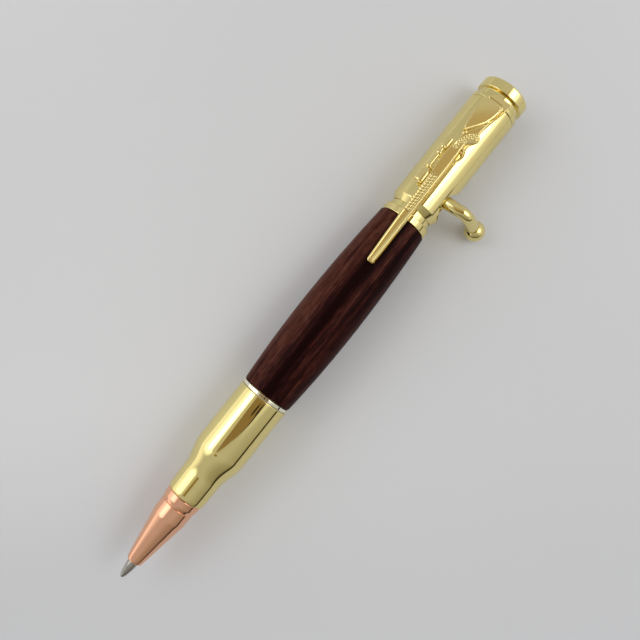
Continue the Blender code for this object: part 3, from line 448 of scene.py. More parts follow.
def make_front():
    """The copper nose, the bottle-necked shell and the ring behind it."""
    mouth, spigot, pocket, channel = 1.40, 4.0, 3.2, 2.4
    turned("nose_cone", [
        (4.45, mouth), (4.45, 1.56, 0.1), (4.72, 1.86, 0.15), (5.15, 2.0, 0.4), (17.2, 3.98, 0.25),
        (20.35, 4.02), (20.45, 3.92), (20.55, 4.02), (21.4, 4.30, 0.2), (NOSE_BACK - 0.1, 4.38, 0.08),
        (NOSE_BACK, 4.25), (NOSE_BACK, spigot), (28.6, spigot), (28.6, pocket), (18.6, pocket),
        (17.0, channel), (10.4, channel), (10.4, mouth),
    ], COPPER, "front", "nib_cone")

    steps, neck, body, length, rise = 24, 29.0, 6.13, 7.1, 1.35
    shoulder = [
        (neck + length * s / steps, body - rise + rise * eased(s / steps)) for s in range(steps + 1)
    ]
    neck_bore, body_bore = 4.1, 5.0
    turned("cartridge", [
        (SHELL_FRONT, neck_bore), (SHELL_FRONT, 4.60, 0.16), (23.75, 4.70, 0.3), *shoulder,
        (SHELL_BACK - 0.08, body, 0.06), (SHELL_BACK, 6.04), (SHELL_BACK, body_bore), (36.05, body_bore),
        (29.85, neck_bore),
    ], GOLD, "front", "cartridge_shell")

    front, back, bore, radius = LOWER_RING_FRONT, LOWER_RING_BACK, 5.0, 6.08
    turned("lower_ring", [
        (front, bore), (front, radius - 0.08), (front + 0.08, radius, 0.06), (back - 0.07, radius, 0.05),
        (back, 5.95), (back, bore),
    ], PALE_GOLD, "barrel", "lower_trim_ring")


def make_barrel():
    """The wood with its long swell."""
    front_steps, back_steps, bore, edge = 24, 30, 4.85, 0.08
    front_radius, fall = 6.10, 1.11
    front_length, back_length = SWELL_PLACE - WOOD_FRONT, WOOD_BACK - 0.1 - SWELL_PLACE
    outer = []
    for step in range(front_steps + 1):
        share = step / front_steps
        rise = (SWELL_RADIUS - front_radius) * (1 - (1 - share) ** 2)
        outer.append((WOOD_FRONT + front_length * share, front_radius + rise))
    for step in range(1, back_steps + 1):
        share = step / back_steps
        outer.append((SWELL_PLACE + back_length * share, SWELL_RADIUS - fall * share**2))
    front, back = outer[0], outer[-1]
    turned("wood", [
        (front[0], bore), (front[0], front[1] - edge), (front[0] + edge, front[1]), *outer[1:-1],
        (back[0] - edge, back[1]), (back[0], back[1] - edge), (back[0], bore),
    ], WOOD, "barrel", "wood_barrel", sides=192)


def make_head():
    """The ring behind the wood, the coupler's neck, the clip's ring and the cap."""
    front, back, bore, radius = WOOD_BACK, UPPER_RING_BACK, 5.2, 5.84
    turned("upper_ring", [
        (front, bore), (front, 5.58), (front + 0.25, radius, 0.05), (back - 0.15, radius, 0.1),
        (back, 5.68), (back, bore),
    ], GOLD, "barrel", "upper_trim_ring")

    bore, thread, neck = 3.7, 4.7, 5.1
    turned("neck_coupler", [
        (94.75, bore), (94.75, 4.25), (WOOD_BACK, 4.25), (WOOD_BACK, neck), (104.95, neck), (104.95, thread),
        (108.15, thread), (108.15, bore),
    ], GOLD, "barrel", "upper_coupler")

    front, back, bore, step, radius = CLIP_RING_FRONT, CLIP_RING_BACK, 2.6, 5.3, 5.92
    turned("clip_band_ring", [
        (front, bore), (front, radius - 0.1), (front + 0.1, radius, 0.04), (135.28, radius, 0.08),
        (back - 0.2, 5.7), (back - 0.2, step), (back, step), (back, bore),
    ], GOLD, "barrel", "clip_ring")

    stud, core = 2.5, 5.15
    turned("cap", [
        (129.75, 0), (129.75, stud), (135.75, stud), (135.75, core), (136.95, core, 0.06),
        (137.24, 5.76, 0.05), (137.38, 5.86, 0.04), (139.55, 5.87, 0.2), (PEN_LENGTH - 0.02, 5.6, 0.1),
        (PEN_LENGTH, 0),
    ], GOLD, "barrel", "end_cap", closed=False)


def make_refill():
    """The refill's nose with its rolled lip, and the writing ball."""
    ball, socket_radius, shank, spigot = 0.42, 0.47, 1.55, 0.85
    socket = []
    for step in range(1, 5):
        angle = math.pi * (1 - step / 8)
        socket.append((ball - socket_radius * math.cos(angle), socket_radius * math.sin(angle)))
    turned("refill_tip", [
        (ball + socket_radius, 0), *socket, (0.50, socket_radius), (0.50, 0.55), (0.62, 0.60, 0.05),
        (1.1, 0.76, 0.1), (3.0, 1.18, 0.6), (4.2, 1.25), (12.0, 1.26, 0.1), (12.0, shank, 0.1),
        (21.9, shank, 0.1), (21.9, spigot), (23.9, spigot), (23.9, 0),
    ], NICKEL, "carriage", "refill_nose", closed=False, sides=96)
    shape = bmesh.new()
    bmesh.ops.create_uvsphere(shape, u_segments=48, v_segments=32, radius=ball * MM)
    bmesh.ops.translate(shape, vec=(along(ball), 0, 0), verts=shape.verts)
    finished("point_ball", shape, CARBIDE, "carriage", "writing_ball")


# Bolt


HANDLE_PLACE = 111.4
HANDLE_ANGLE = 25.0  # degrees above the -Y side
BOLT_TRAVEL = 5.5
BOLT_THROW = 65.0  # degrees
TRACK_HALF_WIDTH = 1.98
ARC_STEPS = 16
PER_DEGREE = math.radians(1) * HOUSING_RADIUS  # along the unrolled housing
ROD_RADIUS = 1.45
KNOB_RADIUS = 2.45
# From the pen's axis at the handle's place, in millimetres
ROD_LINE = (
    (-0.15, -3.2, 1.49), (-0.2, -5.6, 2.62), (-0.2, -7.45, 3.16), (0, -9.0, 3.30), (0.05, -10.4, 2.74),
    (0.1, -11.65, 1.20), (0.2, -12.65, -0.7), (0.25, -13.35, -2.1),
)
KNOB_CENTRE = (0.3, -14.3, -3.85)
# The collar at the rod's end: distance on towards the knob, and radius
COLLAR = ((0.1, 1.52), (0.35, 1.78), (0.6, 1.92), (0.85, 1.95), (0.95, 1.85), (1.0, 1.6))


def opening_cutter(name, outline):
    """A cutter for an opening in the housing, from (place, angle above the -Y side) points."""
    inner, outer, bands = 4.0, 8.0, 12
    shape = bmesh.new()
    face = shape.faces.new([shape.verts.new((x, a, 0)) for x, a in outline])
    bmesh.ops.recalc_face_normals(shape, faces=[face])
    lowest = min(a for _, a in outline)
    highest = max(a for _, a in outline)
    for band in range(1, bands):
        cut = lowest + (highest - lowest) * band / bands
        everything = shape.verts[:] + shape.edges[:] + shape.faces[:]
        bmesh.ops.bisect_plane(shape, geom=everything, dist=1e-6, plane_co=(0, cut, 0), plane_no=(0, 1, 0))
    bmesh.ops.solidify(shape, geom=shape.faces[:], thickness=1.0)
    for corner in shape.verts:
        place, degrees, level = corner.co
        radius = (outer if abs(level) > 0.5 else inner) * MM
        angle = math.radians(degrees)
        corner.co = (along(place), -radius * math.cos(angle), radius * math.sin(angle))
    bmesh.ops.recalc_face_normals(shape, faces=shape.faces)
    return linked(name, shape)


def arc(centre, radius, first, sweep, across=Vector((1, 0)), up=Vector((0, 1))):
    """Points round a part of a circle, from an angle on, clockwise."""
    angles = [first - sweep * step / ARC_STEPS for step in range(ARC_STEPS + 1)]
    return [centre + radius * (math.cos(angle) * across + math.sin(angle) * up) for angle in angles]


def track_outline():
    """The bolt's slanted track: round ends and straight sides, drawn on the unrolled housing."""
    start = Vector((HANDLE_PLACE, HANDLE_ANGLE * PER_DEGREE))
    end = Vector((HANDLE_PLACE + BOLT_TRAVEL, (HANDLE_ANGLE - BOLT_THROW) * PER_DEGREE))
    run = (end - start).normalized()
    side = Vector((-run.y, run.x))
    points = arc(end, TRACK_HALF_WIDTH, math.pi / 2, math.pi, run, side)
    points += arc(start, TRACK_HALF_WIDTH, 1.5 * math.pi, math.pi, run, side)
    return [(p.x, p.y / PER_DEGREE) for p in points]


def pocket_outline():
    """The pocket that the handle locks in, with its two upper corners rounded."""
    base = HANDLE_ANGLE * PER_DEGREE
    front, back = HANDLE_PLACE - 4.4, HANDLE_PLACE + 1.95
    top, front_bottom, back_bottom = base + 1.97, base - 5.6, base - 1.5
    front_corner, back_corner = 3.6, 1.7
    points = [
        Vector((back, back_bottom)), Vector((front + front_corner, front_bottom)),
        Vector((front, front_bottom)),
    ]
    for place, radius, first in (
        (front + front_corner, front_corner, math.pi), (back - back_corner, back_corner, math.pi / 2),
    ):
        points += arc(Vector((place, top - radius)), radius, first, math.pi / 2)
    return [(p.x, p.y / PER_DEGREE) for p in points]


def make_housing():
    """The tube that the bolt runs in, with its flared mouth, pocket and track."""
    front, back, bore, radius = HOUSING_FRONT, HOUSING_BACK, HOUSING_BORE, HOUSING_RADIUS
    shape = turned_shape([
        (front, bore), (front, 5.15, 0.03), (front + 1.55, radius, 0.08), (back - 0.1, radius, 0.06),
        (back, 5.86), (back, bore),
    ], sides=224)
    piece = finished("housing", shape, GOLD, "barrel", "bolt_housing")
    for name, outline in (("pocket", pocket_outline()), ("track", track_outline())):
        cutter = opening_cutter(name + "_cutter", outline)
        modifier = piece.modifiers.new(name, "BOOLEAN")
        modifier.operation = "DIFFERENCE"
        modifier.object = cutter
        bpy.context.view_layer.update()
        cut_piece = piece.evaluated_get(bpy.context.evaluated_depsgraph_get())
        cut_mesh = bpy.data.meshes.new_from_object(cut_piece)
        piece.modifiers.clear()
        piece.data = cut_mesh
        bpy.data.objects.remove(cutter)
    piece.data.set_sharp_from_angle(angle=math.radians(40))


def make_plunger():
    """The bar that fills the housing behind the openings."""
    front, step, back, stem = 101.4, 108.45, 122.25, 3.6
    radius = HOUSING_BORE - 0.1
    turned("plunger", [
        (front, 0), (front, stem, 0.1), (step, stem), (step, radius, 0.2), (back, radius, 0.2), (back, 0),
    ], GOLD, "bolt", "bolt_plunger", closed=False)


def make_handle():
    """The bent handle: a rod that ends in a collar, with a thin groove between it and the ball."""
    line = flowing([Vector(point) * MM for point in ROD_LINE], 8)
    knob = Vector(KNOB_CENTRE) * MM
    rod_end = line[-1]
    heading = (knob - rod_end).normalized()
    radii = [ROD_RADIUS] * len(line)
    for distance, radius in COLLAR:
        line.append(rod_end + heading * distance * MM)
        radii.append(radius)
    shape = bmesh.new()
    rings = []
    for index, (place, radius) in enumerate(zip(line, radii)):
        ahead = line[min(index + 1, len(line) - 1)] - line[max(index - 1, 0)]
        turn = ahead.to_track_quat("Z", "X").to_matrix().to_4x4()
        made = bmesh.ops.create_circle(
            shape, segments=48, radius=radius * MM, matrix=Matrix.Translation(place) @ turn
        )
        rings.append(list({edge for corner in made["verts"] for edge in corner.link_edges}))
    for near, far in zip(rings, rings[1:]):
        bmesh.ops.bridge_loops(shape, edges=near + far)
    bmesh.ops.holes_fill(shape, edges=rings[0] + rings[-1], sides=0)
    ball = bmesh.ops.create_uvsphere(shape, u_segments=64, v_segments=48, radius=KNOB_RADIUS * MM)
    bmesh.ops.translate(shape, vec=knob, verts=ball["verts"])
    bmesh.ops.translate(shape, vec=(along(HANDLE_PLACE), 0, 0), verts=shape.verts)
    bmesh.ops.recalc_face_normals(shape, faces=shape.faces)
    finished("handle", shape, GOLD, "bolt", "bolt_handle")


# Clip

# Seen from above, in millimetres: place from the tip, and distance across towards +Y.
CLIP_FRONT, CLIP_BACK = 89.9, 135.6
OUTLINE = (
    ((89.31, 0.18), (89.39, -0.13), (89.65, -0.36), (90.18, -0.47), (92.57, -0.50), (96.9, -0.50),
     (101.3, -0.49), (107.9, -0.49), (114.5, -0.49), (116.9, -0.51), (117.56, -0.59), (118.23, -0.79),
     (118.91, -1.18), (119.58, -1.40), (120.24, -1.40), (120.89, -1.16), (121.32, -0.86), (121.75, -0.68),
     (122.42, -0.77), (123.09, -0.99), (123.78, -1.47), (124.37, -1.84), (124.82, -1.96), (125.36, -1.80),
     (125.88, -1.41), (126.42, -1.19), (127.75, -1.30), (130.0, -1.72), (132.3, -2.20), (134.6, -2.67),
     (135.4, -2.83)),
    ((135.55, -2.6), (135.5, -1.1), (135.4, 0.6), (135.15, 1.7)),
    ((134.99, 1.85), (134.48, 2.57), (133.63, 3.14), (132.10, 3.40), (130.55, 3.40), (128.77, 3.29),
     (127.21, 3.09), (125.87, 2.85), (124.86, 2.50), (124.21, 2.31), (123.62, 2.07), (122.74, 2.05),
     (121.65, 2.26), (120.55, 2.44), (118.8, 2.52), (115.5, 2.46), (113.3, 2.28), (111.1, 2.18),
     (107.8, 2.12), (103.4, 2.0), (101.2, 1.91), (99.1, 1.82), (96.9, 1.73), (94.7, 1.62), (92.5, 1.50),
     (90.35, 1.39), (89.80, 1.33), (89.46, 1.15), (89.28, 0.88)),
)
LOWER_RIDGE = (
    (89.75, 0.16), (92.46, 0.15), (101.14, 0.14), (107.68, 0.13), (113.14, 0.18), (116.43, 0.20),
    (119.71, 0.24), (121.47, 0.37), (122.35, 0.35), (122.90, 0.04), (123.56, -0.70), (124.12, -1.44),
    (124.61, -1.67), (125.11, -1.54), (125.55, -1.13), (126.09, -0.76), (127.85, -0.91), (129.40, -1.18),
    (130.73, -1.57), (131.84, -1.88), (133.41, -2.27), (135.06, -2.64),
)
INNER_RIDGE = ((122.35, 0.65), (123.23, 0.26), (123.89, -0.39), (124.56, -1.17))
CHANNEL = ((90.0, 0.34), (103.2, 0.36), (103.2, 1.72), (96.9, 1.46), (90.0, 1.12))
GUARD = (
    (118.02, -0.26), (118.47, -0.92), (119.35, -1.14), (120.23, -1.10), (120.95, -0.66), (121.43, -0.04),
)
TRIGGER = ((120.22, -0.04), (120.33, -0.45), (120.05, -0.72))
PANEL = (
    (124.70, 2.26), (125.71, 2.65), (127.04, 2.89), (128.60, 3.09), (130.37, 3.20), (132.13, 3.07),
    (133.20, 2.52), (133.71, 1.48), (133.84, 0.17), (133.76, -0.77), (133.37, -1.35), (132.71, -1.51),
    (130.72, -1.13), (129.17, -0.61), (127.63, 0.32), (126.32, 1.26), (125.45, 1.83),
)
PANEL_GROOVE = (
    (125.12, 1.67), (125.88, 1.13), (126.75, 0.54), (127.62, -0.02), (128.51, -0.55), (129.39, -0.98),
    (130.73, -1.48), (132.06, -1.79), (133.39, -1.94),
)
PANEL_RIM = (
    (128.73, -0.74), (129.84, -1.07), (130.94, -1.33), (132.05, -1.53), (133.05, -1.57), (133.63, -1.22),
)
PANEL_END = ((133.9, 2.2), (134.0, 0.2), (133.95, -1.0))
GRIP = (
    (120.29, 1.98), (121.94, 1.87), (123.25, 1.52), (124.33, 1.04), (125.21, 0.28), (125.87, -0.59),
    (125.94, -0.96), (125.44, -1.13), (125.05, -1.44), (124.69, -1.22), (124.02, -0.17), (123.23, 0.59),
    (122.14, 0.91), (120.27, 1.00),
)
FORE_END = ((103.34, 1.74), (107.70, 1.84), (112.73, 1.98), (113.26, 1.26), (113.04, 0.46), (103.32, 0.44))
COMB_HOLE = (124.80, 2.05)
COMB_BEADS = ((124.14, 2.10), (124.66, 1.66), (125.10, 2.42))
STOCK_FRONT = 124.5

# Heights in millimetres
UNDERSIDE_RADIUS, UNDERSIDE_RISE = 6.25, 0.71
PLATE_THICKNESS = 1.0
SCOPE_LEVEL = 6.55
# Of the scope's rings: place, and distance across
SCOPE_MOUNT_RINGS = ((114.05, 3.38), (117.7, 3.42))
SCOPE_EYEPIECE_RING = (119.3, 3.5)


def clip_level(place):
    """The radius of the clip's underside, which rises to pass over the wood."""
    return UNDERSIDE_RADIUS + (CLIP_BACK - place) / (CLIP_BACK - CLIP_FRONT) * UNDERSIDE_RISE


def reach(points, line, closed=False):
    """Each point's distance to a line of (place, across) points."""
    line = np.array(line, float)
    if closed:
        line = np.vstack([line, line[:1]])
    nearest = np.full(len(points), 1e9)
    for start, end in zip(line, line[1:]):
        span = end - start
        share = np.clip(((points - start) @ span) / max(span @ span, 1e-12), 0, 1)
        nearest = np.minimum(nearest, np.hypot(*(points - start - share[:, None] * span).T))
    return nearest


def inside(points, outline):
    """Whether each point lies in a closed outline."""
    found = np.zeros(len(points), bool)
    x, y = points.T
    for (x1, y1), (x2, y2) in zip(outline, outline[1:] + outline[:1]):
        if y1 != y2:
            found ^= ((y1 > y) != (y2 > y)) & (x < (x2 - x1) * (y - y1) / (y2 - y1) + x1)
    return found


def step_up(value, low, high):
    """0 below low and 1 above high, with a smooth rise between them."""
    return eased(np.clip((value - low) / (high - low), 0, 1))


def ridge(distance, width, height):
    """A rounded ridge by the distance to its line."""
    return height * np.clip(1 - (distance / width) ** 2, 0, 1) ** 1.5


def checkering(points, pitch_along, pitch_across):
    """Rows of small pillows between two crossing sets of grooves, from 0 in the grooves to 1."""
    first = points[:, 0] / pitch_along + points[:, 1] / pitch_across
    second = points[:, 0] / pitch_along - points[:, 1] / pitch_across
    return (np.cos(math.pi * first) * np.cos(math.pi * second)) ** 2


def clip_relief(points, outline):
    """The height of the rifle's surface over the clip's underside, in millimetres."""
    x, y = points.T
    edge = reach(points, outline, closed=True)
    lower = reach(points, LOWER_RIDGE)

    def field(area, slope):
        """1 in an area and 0 outside it, with a slope of that width inside its edge."""
        return inside(points, area) * step_up(reach(points, area, closed=True), 0.0, slope)

    def from_spot(spot):
        return np.hypot(x - spot[0], y - spot[1])

    height = np.full(len(points), PLATE_THICKNESS)
    height -= 0.07 * field(CHANNEL, 0.14)
    height += field(FORE_END, 0.1) * (0.20 * checkering(points, 0.74, 1.30) - 0.08)
    along_grip = points @ np.array([[0.86, -0.50], [0.50, 0.86]])
    height += field(GRIP, 0.1) * (0.18 * checkering(along_grip, 0.80, 1.0) - 0.06)

    # The stock, with its raised panel and the comb over it
    height += 0.07 * field(PANEL, 0.22)
    height -= ridge(reach(points, PANEL_END), width=0.16, height=0.07)
    height -= ridge(reach(points, PANEL_GROOVE), width=0.22, height=0.26)
    height += ridge(reach(points, PANEL_RIM), width=0.18, height=0.12)
    height -= ridge(from_spot(COMB_HOLE), width=0.34, height=0.4)
    for bead in COMB_BEADS:
        height += ridge(from_spot(bead), width=0.28, height=0.10)
    height += ridge(reach(points, INNER_RIDGE), width=0.18, height=0.12)

    # Below the lower ridge: first a facet, and then a slanted side that runs down to the edge
    side = inside(points, LOWER_RIDGE + OUTLINE[0][::-1])
    facet = np.minimum(lower, 0.26)
    slant = (lower - facet) / np.maximum(edge + lower - facet, 0.1)
    height = np.where(side, PLATE_THICKNESS - 0.40 * facet - 0.33 * slant, height)
    height -= side * ridge(lower - 0.42, width=0.15, height=0.17) * step_up(x, 99, 104)
    height -= 0.30 * inside(points, GUARD) * step_up(reach(points, GUARD), 0.12, 0.3)
    height += ridge(reach(points, GUARD), width=0.2, height=0.24) * side
    height += ridge(reach(points, TRIGGER), width=0.16, height=0.3) * side
    height += ridge(lower, width=0.12, height=0.05)

    rounding = np.where(side, 0.10, 0.26)
    lack = np.clip((rounding - edge) / rounding, 0, 1)
    return height - rounding * (1 - np.sqrt(1 - lack**2))


def clip_outline():
    """The rifle's outline as one closed run of points, with its corners kept."""
    points = []
    for run in OUTLINE:
        points += [(p.x, p.y) for p in flowing([(x, y, 0) for x, y in run], 5)]
    return points


def cut_into_strips(shape, way_up, axis, places):
    """Cuts the faces that look up (1) or down (-1) at each place along an axis."""
    faces = [face for face in shape.faces if face.normal.z * way_up > 0.9]
    for place in places:
        corners = {corner for face in faces for corner in face.verts}
        edges = {edge for face in faces for edge in face.edges}
        cuts = bmesh.ops.bisect_plane(
            shape, geom=[*corners, *edges, *faces], dist=1e-5, plane_co=axis * float(place), plane_no=axis
        )
        kept = [item for item in cuts["geom"] if isinstance(item, bmesh.types.BMFace)]
        faces = [face for face in kept if face.normal.z * way_up > 0.9]


def make_clip_plate():
    """The rifle itself: a plate, cut into a fine grid on top, raised to the relief and bent over the pen."""
    outline = clip_outline()
    shape = bmesh.new()
    shape.faces.new([shape.verts.new((x, y, 0)) for x, y in outline])
    bmesh.ops.recalc_face_normals(shape, faces=shape.faces)
    if shape.faces[:][0].normal.z < 0:
        bmesh.ops.reverse_faces(shape, faces=shape.faces)
    low = bmesh.ops.extrude_face_region(shape, geom=shape.faces[:], use_keep_orig=True)
    base = [item for item in low["geom"] if isinstance(item, bmesh.types.BMVert)]
    bmesh.ops.translate(shape, vec=(0, 0, -PLATE_THICKNESS), verts=base)
    bmesh.ops.recalc_face_normals(shape, faces=shape.faces)

    grid, strip = 0.075, 0.9
    grid_front, grid_right, grid_left = 89.35, -2.78, 3.45
    along_pen, across_pen = Vector((1, 0, 0)), Vector((0, 1, 0))
    cut_into_strips(shape, -1, across_pen, np.arange(-3, 4.3, strip))
    cut_into_strips(shape, 1, along_pen, np.arange(grid_front, CLIP_BACK, grid))
    cut_into_strips(shape, 1, across_pen, np.arange(grid_right, grid_left, grid))

    rise = shape.verts.layers.float.new("rise")
    upper = [v for v in shape.verts if v.co.z > -PLATE_THICKNESS / 2]
    lower = [v for v in shape.verts if v.co.z <= -PLATE_THICKNESS / 2]
    relief = clip_relief(np.array([(v.co.x, v.co.y) for v in upper]), outline)
    low_ground, ridge_top = 0.55, 1.05
    for corner, height in zip(upper, relief):
        corner[rise] = float(np.clip((height - low_ground) / (ridge_top - low_ground), 0, 1))
        # The underside gets a low rise, so it takes mostly the painted shade tone of the hollows.
        bend(corner, height)
    for corner in lower:
        corner[rise] = 0.2
        bend(corner, 0.0)
    return shape


def bend(corner, height):
    """Takes a flat (place, across) corner over the pen, at a height over the clip's underside. The underside
    follows the pen's round, and the top is nearly flat."""
    place, across = corner.co.x, corner.co.y
    radius = clip_level(place) + height
    drop = radius - math.sqrt(radius**2 - across**2)
    flatness = 0.9 if place > STOCK_FRONT else 0.7
    follow = 1 - flatness * min(max(height, 0), 1)
    corner.co = (along(place), across * MM, (radius - follow * drop) * MM)


def scope_part(shape, points, across, flatness=1.0):
    """A turned part of the scope, pressed flatter and leaning to the clip's side, added to a shape."""
    part = turned_shape(points, closed=points[0][1] > 0, sides=40)
    rise = part.verts.layers.float.new("rise")
    for corner in part.verts:
        corner[rise] = 0.95
    lean = Matrix.Rotation(math.radians(-25), 4, "X") @ Matrix.Diagonal((1, 1, flatness, 1))
    spot = Matrix.Translation((0, across * MM, SCOPE_LEVEL * MM))
    bmesh.ops.transform(part, matrix=spot @ lean, verts=part.verts)
    spare = bpy.data.meshes.new("scope_part")
    part.to_mesh(spare)
    part.free()
    shape.from_mesh(spare)
    bpy.data.meshes.remove(spare)


def add_scope(shape):
    """The scope's bell, tube and eyepiece, its rings, and the posts of its two mounts."""
    scope_part(shape, [
        (110.4, 0), (110.3, 0.6), (110.0, 0.9, 0.05), (110.05, 1.22, 0.12), (110.4, 1.28, 0.08),
        (112.6, 1.28, 0.4), (113.7, 0.60, 0.3), (114.1, 0.42), (114.1, 0),
    ], 3.38, 0.55)
    scope_part(shape, [(113.6, 0), (113.6, 0.42), (119.2, 0.42), (119.2, 0)], 3.36)
    scope_part(shape, [
        (118.95, 0), (118.95, 0.5), (119.5, 1.0, 0.3), (121.75, 1.0, 0.14), (121.9, 0.85), (121.9, 0.6),
        (121.6, 0),
    ], 3.55, 0.55)
    for place, across in (*SCOPE_MOUNT_RINGS, SCOPE_EYEPIECE_RING):
        scope_part(shape, [
            (place - 0.42, 0), (place - 0.40, 0.62, 0.1), (place, 0.95, 0.45), (place + 0.40, 0.62, 0.1),
            (place + 0.42, 0),
        ], across, 0.9)
    for place, _ in SCOPE_MOUNT_RINGS:
        post = bmesh.ops.create_cube(shape, size=1.0)
        size = Matrix.Diagonal((0.6 * MM, 1.7 * MM, 0.8 * MM, 1))
        lean_in = Matrix.Rotation(math.radians(-18), 4, "X")
        spot = Matrix.Translation((along(place), 2.65 * MM, SCOPE_LEVEL * MM))
        bmesh.ops.transform(shape, matrix=spot @ lean_in @ size, verts=post["verts"])
        edges = list({edge for corner in post["verts"] for edge in corner.link_edges})
        bmesh.ops.bevel(
            shape, geom=edges, offset=0.1 * MM, segments=2, profile=0.5, affect="EDGES", material=-1
        )


def make_clip():
    """The clip: plate with the rifle in relief, and its scope with rings."""
    shape = make_clip_plate()
    add_scope(shape)
    finished("rifle_clip", shape, CLIP_GOLD, "clip", "clip", crease=60)


# Inner pieces


def dress_inner_nodes():
    """The inner pieces keep their CAD shape and take their real finish."""
    finishes = {
        "barrel_tube": BRASS, "lower_coupler": BRASS, "housing_plug": BRASS, "refill_body": BRASS,
        "thrust_cup": BLACK_PLASTIC, "refill_end_plug": DARK_PLASTIC, "return_spring": SPRING_STEEL,
    }
    for node, material in finishes.items():
        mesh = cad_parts[node].data
        mesh.materials.clear()
        mesh.materials.append(material)


# Studio


CARD_HEIGHT = 0.166
CARD_LAYER = 0.0001  # between cards that lie over each other
WARM = (0.10, 0.07, 0.04)
NEUTRAL = (0.2, 0.2, 0.19)
SOOT = (0.03, 0.03, 0.03)
BLACK = (0.01, 0.01, 0.01)


def on_picture(right, up, height):
    """A point of the studio, in metres: the picture's right and up from below the camera, and its height."""
    return Vector((FOOT.x, FOOT.y, height)) + right * PICTURE_RIGHT + up * PICTURE_UP


def over_table(corners, layer):
    """Corners of a card over the table, from the picture's right and up in millimetres."""
    height = CARD_HEIGHT + layer * CARD_LAYER
    return [on_picture(right * MM, up * MM, height) for right, up in corners]


def over_pen(corners, layer):
    """Corners of a card over the table, from their place along the pen and across it in millimetres."""
    cosine, sine = math.cos(PICTURE_ANGLE), math.sin(PICTURE_ANGLE)
    turned_corners = [(cosine * a + sine * b, sine * a - cosine * b) for a, b in corners]
    return over_table(turned_corners, layer)


def card(name, corners, colour, glow=(0, 0, 0)):
    """A card in the studio that shows in reflections only."""
    shape = bmesh.new()
    shape.faces.new([shape.verts.new(corner) for corner in corners])
    finish = Finish(name, Roughness=0.9, Emission_Strength=1.0)
    shade = finish.noise(finish.places((0.01, 0.01, 0.01)), 1.0, 1)
    tone = 0.9 + 0.2 * shade
    finish.set(
        Base_Color=finish.mixed(shade, (*(c * 0.9 for c in colour), 1), (*colour, 1)),
        Emission_Color=finish.mixed(tone, (0, 0, 0, 1), (*glow, 1)),
    )
    piece = linked(name, shape)
    piece.data.materials.append(finish.material)
    piece.visible_camera = False


def lamp(name, place, size, radiance):
    """A soft lamp that points at the pen, with the brightness that it has in a mirror."""
    light = bpy.data.lights.new(name, "AREA")
    light.shape = "ELLIPSE"
    light.size, light.size_y = size
    area = math.pi / 4 * size[0] * size[1]
    light.energy = radiance * math.pi * area
    lamp_object = bpy.data.objects.new(name, light)
    lamp_object.location = place
    lamp_object.rotation_euler = (CAMERA_OVER - Vector(place)).to_track_quat("-Z", "Y").to_euler()
    lamp_object.visible_camera = False
    bpy.context.scene.collection.objects.link(lamp_object)


def sky():
    """Even light, brighter round the two windows and on the left, darker behind the picture's lower side."""
    world = bpy.data.worlds.new("studio_air")
    bpy.context.scene.world = world
    world.use_nodes = True
    air = Nodes(world.node_tree)
    view = air.node("ShaderNodeTexCoord").outputs["Generated"]

    def towards(direction):
        sockets = {0: view, 1: tuple(direction.normalized())}
        node = air.node("ShaderNodeVectorMath", {"operation": "DOT_PRODUCT"}, sockets)
        return Value(air, node.outputs["Value"])

    def towards_picture(right, up, height):
        return towards(right * PICTURE_RIGHT + up * PICTURE_UP + Vector((0, 0, height)))

    def halo(way, inner, outer):
        near, far = math.cos(math.radians(inner)), math.cos(math.radians(outer))
        return air.span(way, far, near, way=SMOOTH)

    right, up, high = towards(PICTURE_RIGHT), towards(PICTURE_UP), towards(Vector((0, 0, 1)))
    left_halo = halo(towards_picture(-0.70, 0.29, 0.66), 6, 27)
    right_halo = halo(towards_picture(0.57, -0.03, 0.82), 7, 31)
    left_glow = air.span(right, -0.5, -0.9, way=SMOOTH) * air.span(high, 0.55, 0.2, way=SMOOTH)
    right_glow = air.span(right, 0.55, 0.9, way=SMOOTH) * (0.12 + 0.30 * air.span(high, 0.22, 0.6))
    shade = air.span(up, -0.42, -1.0, way=SMOOTH)
    low_shade = air.span(up, -0.65, -0.95, way=SMOOTH) * air.span(high, 0.4, 0.1, way=SMOOTH)
    strength = 0.55 + 1.35 * left_halo + 1.4 * right_halo + 0.6 * left_glow + right_glow
    strength = strength * (1 - 0.40 * shade) * (1 - 0.3 * low_shade)
    back = world.node_tree.nodes["Background"]
    air.feed(back.inputs["Color"], air.mixed(shade, (1, 0.99, 0.985, 1), (1, 0.95, 0.80, 1)))
    air.feed(back.inputs["Strength"], strength)


def make_table():
    """The pale table, which touches the pen's swell."""
    shape = bmesh.new()
    bmesh.ops.create_grid(shape, x_segments=1, y_segments=1, size=1.5)
    touch = Vector((along(SWELL_PLACE), 0, -(SWELL_RADIUS + 0.01) * MM))
    turn = TABLE_UP.to_track_quat("Z", "Y").to_matrix().to_4x4()
    bmesh.ops.transform(shape, matrix=Matrix.Translation(touch) @ turn, verts=shape.verts)
    table = linked("table_top", shape)
    table.data.materials.append(table_top("pale_table"))


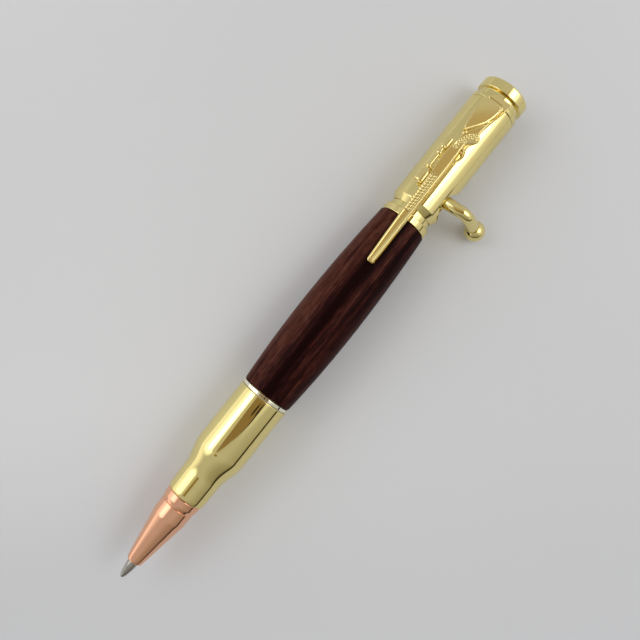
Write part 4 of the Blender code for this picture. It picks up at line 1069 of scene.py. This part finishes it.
def make_cards():
    """What stands over the table round the camera, and shows in the gold as brown and black marks."""
    warm_glow, light_warm_glow, side_glow = (0.22, 0.15, 0.07), (0.44, 0.36, 0.25), (0.50, 0.47, 0.40)
    card("warm_card", over_table((
        (-79, 20), (-79, -27), (-62, -39), (-40, -52), (-20, -63), (3, -78), (32, -81), (62, -40),
        (107, 33),
    ), 0), WARM, warm_glow)
    card("light_warm_card", over_table((
        (-71, 20), (107, 33), (115, 88), (60, 112), (20, 112), (-30, 80),
    ), 2), WARM, light_warm_glow)
    card("plain_card", over_table((
        (115, 88), (60, 112), (20, 112), (15, 165), (120, 150),
    ), 3), NEUTRAL, (0.46, 0.445, 0.44))
    card("side_card", over_table((
        (-126, 12), (-121, -32), (-110, -47), (-90, -53), (-84, -44), (-71, -33), (-71, 20), (-100, 60),
    ), 1), NEUTRAL, side_glow)
    card("neck_mark", over_table((
        (-95, -56), (-82, -39), (-51, -58), (-63, -77),
    ), -4), (0.1, 0.07, 0.03), (0.24, 0.18, 0.07))
    for name, start, end, inner, outer in (
        ("small_mark", -47.5, -40, 6, 26), ("low_mark", -47.5, -40, 47, 62),
        ("ring_mark", -38.5, -34.5, 6, 24), ("low_ring_mark", -38.5, -34.5, 48, 64),
    ):
        middle, taper = (inner + outer) / 2, 1.5
        card(name, over_pen((
            (start, middle), (start + taper, inner), (end - taper, inner), (end, middle),
            (end - taper, outer), (start + taper, outer),
        ), -5), BLACK)
    card("long_mark", over_table(((6, -79), (26, -86), (33, -75), (20, -75)), -6), BLACK)


def make_skirtings():
    """The dark edges of the room behind the picture's lower side and on its right."""
    left, right, left_up, right_up, base = -0.6, 1.1, -0.62, -0.42, -0.01
    card("skirting", (
        on_picture(left, left_up, base), on_picture(right, right_up, base),
        on_picture(right, right_up, 0.10), on_picture(left, left_up, 0.085),
    ), SOOT, (0.03, 0.02, 0.0))
    side, reach_up, base, top = 0.34, 0.3, -0.02, 0.006
    card("right_skirting", (
        on_picture(side, -reach_up, base), on_picture(side, reach_up, base),
        on_picture(side, reach_up, top), on_picture(side, -reach_up, top),
    ), SOOT, (0.36, 0.30, 0.18))


def make_studio():
    """Pale table, two soft windows, and what shows in the pen's gold."""
    make_table()
    lamp("left_window", on_picture(-0.410, 0.180, 0.405), (0.19, 0.19), 1.3)
    lamp("right_window", on_picture(0.36, 0.03, 0.49), (0.19, 0.28), 1.15)
    make_cards()
    make_skirtings()


def make_camera():
    """Straight over the table and close, as the picture was taken."""
    camera = bpy.data.cameras.new("camera")
    camera.sensor_width = 36.0
    camera.lens = 39.7
    camera.clip_start = 0.005
    camera.clip_end = 10.0
    right = (PICTURE_RIGHT - PICTURE_RIGHT.dot(TABLE_UP) * TABLE_UP).normalized()
    turn = Matrix((right, TABLE_UP.cross(right), TABLE_UP)).transposed().to_4x4()
    view = bpy.data.objects.new("camera", camera)
    view.matrix_world = Matrix.Translation(FOOT) @ turn
    bpy.context.scene.collection.objects.link(view)
    bpy.context.scene.camera = view
    bpy.context.scene.view_settings.view_transform = "Standard"


make_camera()
sky()
make_front()
make_barrel()
make_head()
make_refill()
make_housing()
make_plunger()
make_handle()
make_clip()
dress_inner_nodes()
make_studio()
